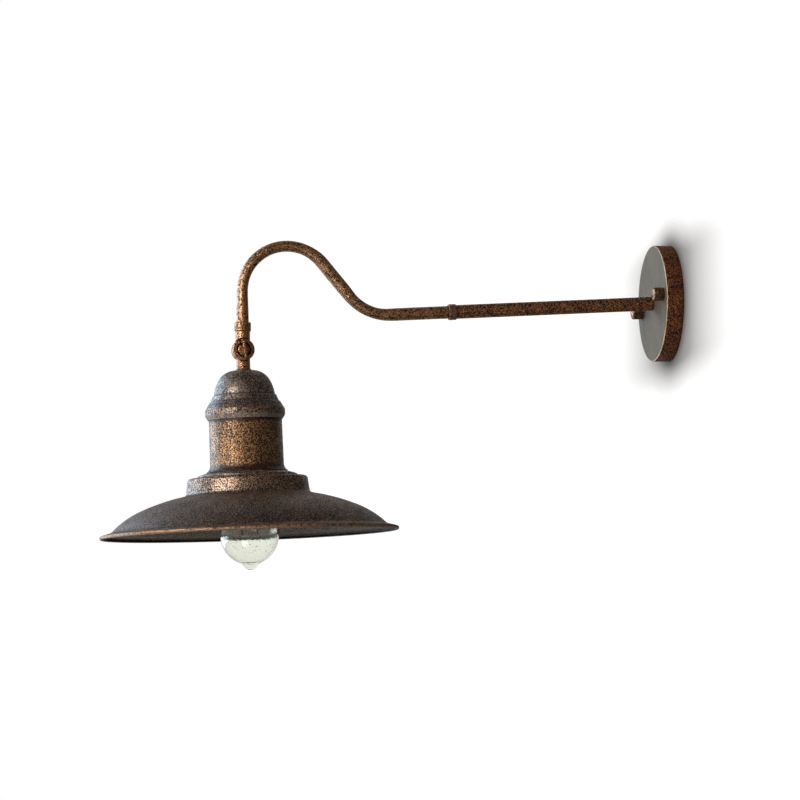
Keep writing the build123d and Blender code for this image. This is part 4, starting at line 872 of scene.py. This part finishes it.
@dataclass
class Gooseneck:
    """The bent tube, flattened a little where it bends."""

    start: Vector = field(default_factory=lambda: Vector((0.0, -0.230936, -0.010620)))
    droop: float = math.radians(2.85)
    run: float = 0.0654
    s_radius: float = 0.051
    climb_angle: float = math.radians(50.5)
    climb: float = 0.0445
    arch_radius: float = 0.0468
    leg: float = 0.0415
    wall: float = 0.001
    sides: int = 56
    # Steps of the run, the first bend, the climb, the arch and the leg.
    steps: tuple[int, ...] = (10, 24, 8, 64, 10)
    # Half width across the bends, the same all along.
    half_width: float = 0.00658
    # Half height in the plane of the bends at shares of the length, from collar to ferrule.
    half_heights: tuple[tuple[float, float], ...] = (
        (0.0, 0.00658), (0.18, 0.00655), (0.27, 0.00585), (0.33, 0.00580), (0.40, 0.00650),
        (0.50, 0.00650), (0.58, 0.00570), (0.80, 0.00562), (0.88, 0.00560), (0.95, 0.00620),
        (1.0, 0.00650))

    def line(self) -> tuple[list[Vector], list[float]]:
        """Centre line of the tube.

        Returns:
            Its points and the heading at each, as an angle in the YZ plane.
        """
        point = self.start.copy()
        heading = math.pi + self.droop
        points, headings = [point.copy()], [heading]

        def go(length: float, steps: int) -> None:
            """Runs straight on."""
            nonlocal point
            ahead = Vector((0.0, math.cos(heading), math.sin(heading)))
            for _ in range(steps):
                point = point + ahead * (length / steps)
                points.append(point.copy())
                headings.append(heading)

        def bend(radius: float, turn: float, steps: int) -> None:
            """Turns on an arc, to the right where the turn is negative."""
            nonlocal point, heading
            reach = math.copysign(radius, turn)
            centre = point + upright(heading) * reach
            for _ in range(steps):
                heading += turn / steps
                point = centre - upright(heading) * reach
                points.append(point.copy())
                headings.append(heading)

        run, low_bend, climb, arch, leg = self.steps
        go(self.run, run)
        bend(self.s_radius, -(self.climb_angle + self.droop), low_bend)
        go(self.climb, climb)
        bend(self.arch_radius, math.pi / 2 + self.climb_angle, arch)
        go(self.leg, leg)
        return points, headings

    def half_height_at(self, share: float) -> float:
        """The tube's outer half height at a share of its length."""
        for (low, first), (high, second) in zip(self.half_heights, self.half_heights[1:]):
            if share <= high:
                step = (share - low) / (high - low)
                return first + (second - first) * step * step * (3 - 2 * step)
        return self.half_heights[-1][1]

    def build(self, wardrobe: Wardrobe) -> None:
        """Sweeps the hollow tube and dresses it."""
        points, headings = self.line()
        lengths = [0.0]
        for before, after in zip(points, points[1:]):
            lengths.append(lengths[-1] + (after - before).length)
        rings = []
        for inner in (False, True):
            order = range(len(points)) if not inner else reversed(range(len(points)))
            for index in order:
                inset = self.wall if inner else 0.0
                tall = self.half_height_at(lengths[index] / lengths[-1]) - inset
                wide = self.half_width - inset
                up = upright(headings[index])
                turns = (math.tau * side / self.sides for side in range(self.sides))
                rings.append([points[index] + up * tall * math.cos(turn)
                              + Vector((wide * math.sin(turn), 0.0, 0.0)) for turn in turns])
        vertices = [point for ring in rings for point in ring]
        faces = loops_to_faces(len(rings), self.sides)
        tube = mesh_piece("gooseneck_tube", vertices, faces)
        wardrobe.own_piece(tube, "gooseneck_bronze", Ride.FIXTURE, "gooseneck")


@dataclass
class BulbSeeds:
    """Air bubbles drawn out inside the bulb's glass wall."""

    count: int = 150
    centre_drop: float = 0.1892
    wall_radius: float = 0.02945
    sizes: tuple[float, float] = (0.00018, 0.00036)
    stretch: tuple[float, float] = (1.2, 3.2)
    # Sine of the height on the bulb, from the socket's side to the tip's.
    heights: tuple[float, float] = (-0.45, 0.86)
    depth: float = 0.0003
    seed: int = 12
    rings: int = 5
    sides: int = 8

    def build(self, wardrobe: Wardrobe) -> None:
        """Scatters the bubbles over the round part of the bulb, in one piece."""
        draw = random.Random(self.seed)
        centre = PIVOT + SHADE_AXIS * self.centre_drop
        east = Vector((1.0, 0.0, 0.0))
        south = SHADE_AXIS.cross(east).normalized()
        points: list[Vector] = []
        faces: Faces = []
        for _ in range(self.count):
            turn = draw.uniform(0, math.tau)
            lift = draw.uniform(*self.heights)
            level = east * math.cos(turn) + south * math.sin(turn)
            out = level * math.sqrt(1 - lift * lift) + SHADE_AXIS * lift
            place = centre + out * self.wall_radius
            along = SHADE_AXIS.cross(out).normalized()
            across = out.cross(along)
            small = draw.uniform(*self.sizes)
            long = small * draw.uniform(*self.stretch)
            axes = (along * long, across * small, out * min(small, self.depth))
            self._bubble(points, faces, place, axes)
        seeds = mesh_piece("bulb_seeds", points, faces)
        wardrobe.own_piece(seeds, "bulb_glass", Ride.BULB, finish="bulb_seed")

    def _bubble(self, points: list[Vector], faces: Faces,
                place: Vector, axes: tuple[Vector, Vector, Vector]) -> None:
        """Adds one ellipsoid whose faces look inwards, to the air.

        Args:
            points: vertices so far.
            faces: faces so far.
            place: the bubble's centre.
            axes: its three half axes.
        """
        base = len(points)
        points.append(place + axes[2])
        for ring in range(1, self.rings):
            tilt = math.pi * ring / self.rings
            for side in range(self.sides):
                turn = math.tau * side / self.sides
                points.append(place + axes[0] * math.sin(tilt) * math.cos(turn)
                              + axes[1] * math.sin(tilt) * math.sin(turn)
                              + axes[2] * math.cos(tilt))
        points.append(place - axes[2])
        last = len(points) - 1
        for side in range(self.sides):
            turn = (side + 1) % self.sides
            faces.append((base, base + 1 + turn, base + 1 + side))
            low = base + 1 + (self.rings - 2) * self.sides
            faces.append((last, low + side, low + turn))
            for ring in range(self.rings - 2):
                start = base + 1 + ring * self.sides
                after = start + self.sides
                faces.append((start + side, start + turn, after + turn, after + side))


@dataclass(frozen=True)
class Softbox:
    """A square area light, in metres and watts."""

    name: str
    place: Vector
    size: float
    power: float
    colour: Colour

    def build(self, target: Vector) -> None:
        """Adds the light, aimed at a point."""
        data = bpy.data.lights.new(self.name, "AREA")
        data.shape, data.size = "SQUARE", self.size
        data.energy, data.color = self.power, self.colour
        light = bpy.data.objects.new(self.name, data)
        light.location = self.place
        light.rotation_euler = (target - self.place).to_track_quat("-Z", "Y").to_euler()
        bpy.context.scene.collection.objects.link(light)


SOFTBOXES = (
    Softbox("key", Vector((0.95, -1.85, 0.30)), 0.8, 33.0, (1.0, 0.92, 0.80)),
    Softbox("side", Vector((-1.15, -1.75, 0.15)), 1.8, 44.0, (0.64, 0.82, 1.0)),
    Softbox("top", Vector((-0.9, -0.9, 1.7)), 0.9, 1.5, (0.95, 0.98, 1.0)),
    Softbox("front", Vector((2.6, -0.9, 0.4)), 0.9, 3.0, (1.0, 0.88, 0.74)),
    Softbox("under", Vector((1.4, -1.2, -1.3)), 0.8, 6.0, (0.85, 0.93, 1.0)),
)


@dataclass(frozen=True)
class WallShade:
    """The soft shade that the canopy throws on the wall, and the light behind the canopy."""

    contact_reach: float = 0.05
    contact_power: float = 3.0
    samples: int = 8
    # The shade's middle, its half height before it thins out, and how fast it thins each way.
    middle: tuple[float, float] = (0.012, -0.005)
    half_height: float = 0.048
    rate_across: float = 175.0
    rate_up: float = 970.0
    full: float = 11.0
    run: float = 36.0
    fall: float = 1.6
    darkness: float = 0.70
    # The disc that the canopy covers. Its glow only lights the canopy's inside.
    covered: tuple[float, float] = (0.056, 0.054)
    glow: float = 0.8

    def apply(self, graph: Graph, share: Value, place: Node) -> Socket:
        """Takes the shade off the wall's brightness and adds the hidden glow.

        Args:
            graph: the wall paint's graph.
            share: the wall's brightness so far.
            place: the node with the three coordinates.

        Returns:
            The new brightness.
        """
        near = graph.add("AmbientOcclusion", samples=self.samples)
        near.inputs["Distance"].default_value = self.contact_reach
        touch = graph.math("POWER", near.outputs["AO"], self.contact_power)
        aside = graph.math("SUBTRACT", place.outputs["X"], self.middle[0])
        aside = graph.math("ABSOLUTE", graph.times(aside, self.rate_across))
        height = graph.math("ABSOLUTE", graph.math("SUBTRACT", place.outputs["Z"], self.middle[1]))
        over = graph.math("SUBTRACT", height, self.half_height, clamp=True)
        over = graph.times(over, self.rate_up)
        reach = graph.math("SQRT", graph.math("ADD", graph.math("POWER", aside, 2.0),
                                              graph.math("POWER", over, 2.0)))
        thinned = graph.math("DIVIDE", graph.math("SUBTRACT", reach, self.full), self.run)
        fade = graph.rest(thinned, clamp=True)
        shade = graph.times(graph.math("POWER", fade, self.fall), self.darkness)
        share = graph.times(share, graph.times(touch, graph.rest(shade)))
        flat = graph.put("CombineXYZ", place.outputs["X"], 0.0, place.outputs["Z"])
        span = graph.put("VectorMath", flat.outputs[0], operation="LENGTH")
        covered = graph.remap(span.outputs["Value"], *self.covered, to_high=self.glow)
        return graph.math("MAXIMUM", share, covered)


# The dim light that comes from everywhere.
AMBIENT = 0.025
WALL_PAINT = (0.10, 0.09, 0.08, 1.0)


@dataclass
class Studio:
    """Camera at the photograph's angle, soft lights, the wall and a floor far below."""

    azimuth: float = math.radians(79.66)
    elevation: float = math.radians(-4.65)
    roll: float = math.radians(-0.6432)
    distance: float = 3.556
    target: Vector = field(default_factory=lambda: Vector((0.0, -0.286806, -0.101951)))
    lens: float = 155.558
    sensor: float = 36.0

    def build(self) -> None:
        """Sets up everything that isn't part of the object."""
        self._camera()
        self._world()
        for softbox in SOFTBOXES:
            softbox.build(self.target)
        self._stage()
        bpy.context.scene.view_settings.view_transform = "Standard"

    def _camera(self) -> None:
        """Places the camera from its bearing, its height and a slight roll."""
        data = bpy.data.cameras.new("portrait")
        data.lens, data.sensor_width = self.lens, self.sensor
        data.clip_start, data.clip_end = 0.1, 60.0
        camera = bpy.data.objects.new("portrait", data)
        flat = math.cos(self.elevation)
        back = Vector((math.sin(self.azimuth) * flat, -math.cos(self.azimuth) * flat,
                       math.sin(self.elevation)))
        right = Vector((math.cos(self.azimuth), math.sin(self.azimuth), 0.0))
        up = back.cross(right)
        turn, lean = math.cos(self.roll), math.sin(self.roll)
        right, up = right * turn + up * lean, up * turn - right * lean
        spin = Matrix((right, up, back)).transposed().to_4x4()
        camera.matrix_world = Matrix.Translation(self.target + back * self.distance) @ spin
        bpy.context.scene.collection.objects.link(camera)
        bpy.context.scene.camera = camera

    @staticmethod
    def _world() -> None:
        """White behind the object and in grazing reflections of what lies there, dim elsewhere."""
        world = bpy.data.worlds.new("studio")
        world.use_nodes = True
        bpy.context.scene.world = world
        graph = Graph(world.node_tree)
        ground = world.node_tree.nodes["Background"]
        ray = graph.add("LightPath").outputs
        seen = graph.math("MAXIMUM", ray["Is Camera Ray"], ray["Is Transmission Ray"])
        way = graph.put("SeparateXYZ", graph.add("TexCoord").outputs["Generated"])
        behind = graph.remap(way.outputs["X"], low=-0.62, high=-0.92, to_low=0.02, to_high=0.55)
        share = graph.math("MAXIMUM", seen, graph.times(ray["Is Glossy Ray"], behind))
        strength = graph.math("MULTIPLY_ADD", share, 1 - AMBIENT, AMBIENT)
        graph.wire(ground, Color=(1.0, 1.0, 1.0), Strength=strength)

    def _stage(self) -> None:
        """Adds the wall, which can't be seen from behind, and the floor."""
        wall = self._plane("wall", Vector((-2.0, 0.0006, 0.0)), Vector((1.0, 0.0, 0.0)),
                           Vector((0.0, 0.0, 1.0)), 9.0, 5.0)
        floor = self._plane("floor", Vector((-1.0, -3.0, -2.2)), Vector((1.0, 0.0, 0.0)),
                            Vector((0.0, 1.0, 0.0)), 12.0, 12.0)
        for sheet in (wall, floor):
            sheet.data.materials.append(self._stage_paint(sheet.name, sheet is wall))

    @staticmethod
    def _plane(name: str, middle: Vector, right: Vector, up: Vector, width: float,
               height: float) -> Piece:
        """Makes a flat sheet that faces along right x up."""
        corners = [middle + right * (x * width / 2) + up * (y * height / 2)
                   for x, y in ((-1, -1), (1, -1), (1, 1), (-1, 1))]
        return mesh_piece(name, corners, [(0, 1, 2, 3)], smooth=False)

    @staticmethod
    def _stage_paint(name: str, shadowed: bool) -> Material:
        """White paint that stays white to the camera except where the object shades it."""
        material, graph, shader = new_material(name + " paint")
        graph.tree.nodes.remove(shader)
        out = graph.tree.nodes["Material Output"]
        paint = graph.add("BsdfDiffuse")
        paint.inputs["Color"].default_value = WALL_PAINT
        glow = graph.add("Emission")
        ray = graph.add("LightPath").outputs
        seen = graph.math("MAXIMUM", ray["Is Camera Ray"], ray["Is Transmission Ray"])
        place = graph.put("SeparateXYZ", graph.add("TexCoord").outputs["Object"])
        mirrored = graph.remap(place.outputs["X"], low=-0.15, high=-0.7, to_low=0.02, to_high=0.4)
        share = graph.math("MAXIMUM", seen, graph.times(ray["Is Glossy Ray"], mirrored))
        if shadowed:
            share = WallShade().apply(graph, share, place)
        graph.feed(glow.inputs["Strength"], share)
        both = graph.put("AddShader", paint.outputs[0], glow.outputs[0])
        clear = graph.add("BsdfTransparent")
        one_way = graph.put("MixShader", graph.add("NewGeometry").outputs["Backfacing"],
                            both.outputs[0], clear.outputs[0])
        graph.feed(out.inputs["Surface"], one_way.outputs[0])
        return material


def main() -> None:
    """Builds the scene's classes in order."""
    logging.basicConfig(level=logging.INFO, format="%(message)s")
    wardrobe = Wardrobe()
    wardrobe.dress_nodes()
    Gooseneck().build(wardrobe)
    BulbSeeds().build(wardrobe)
    Studio().build()


if __name__ == "__main__":
    main()
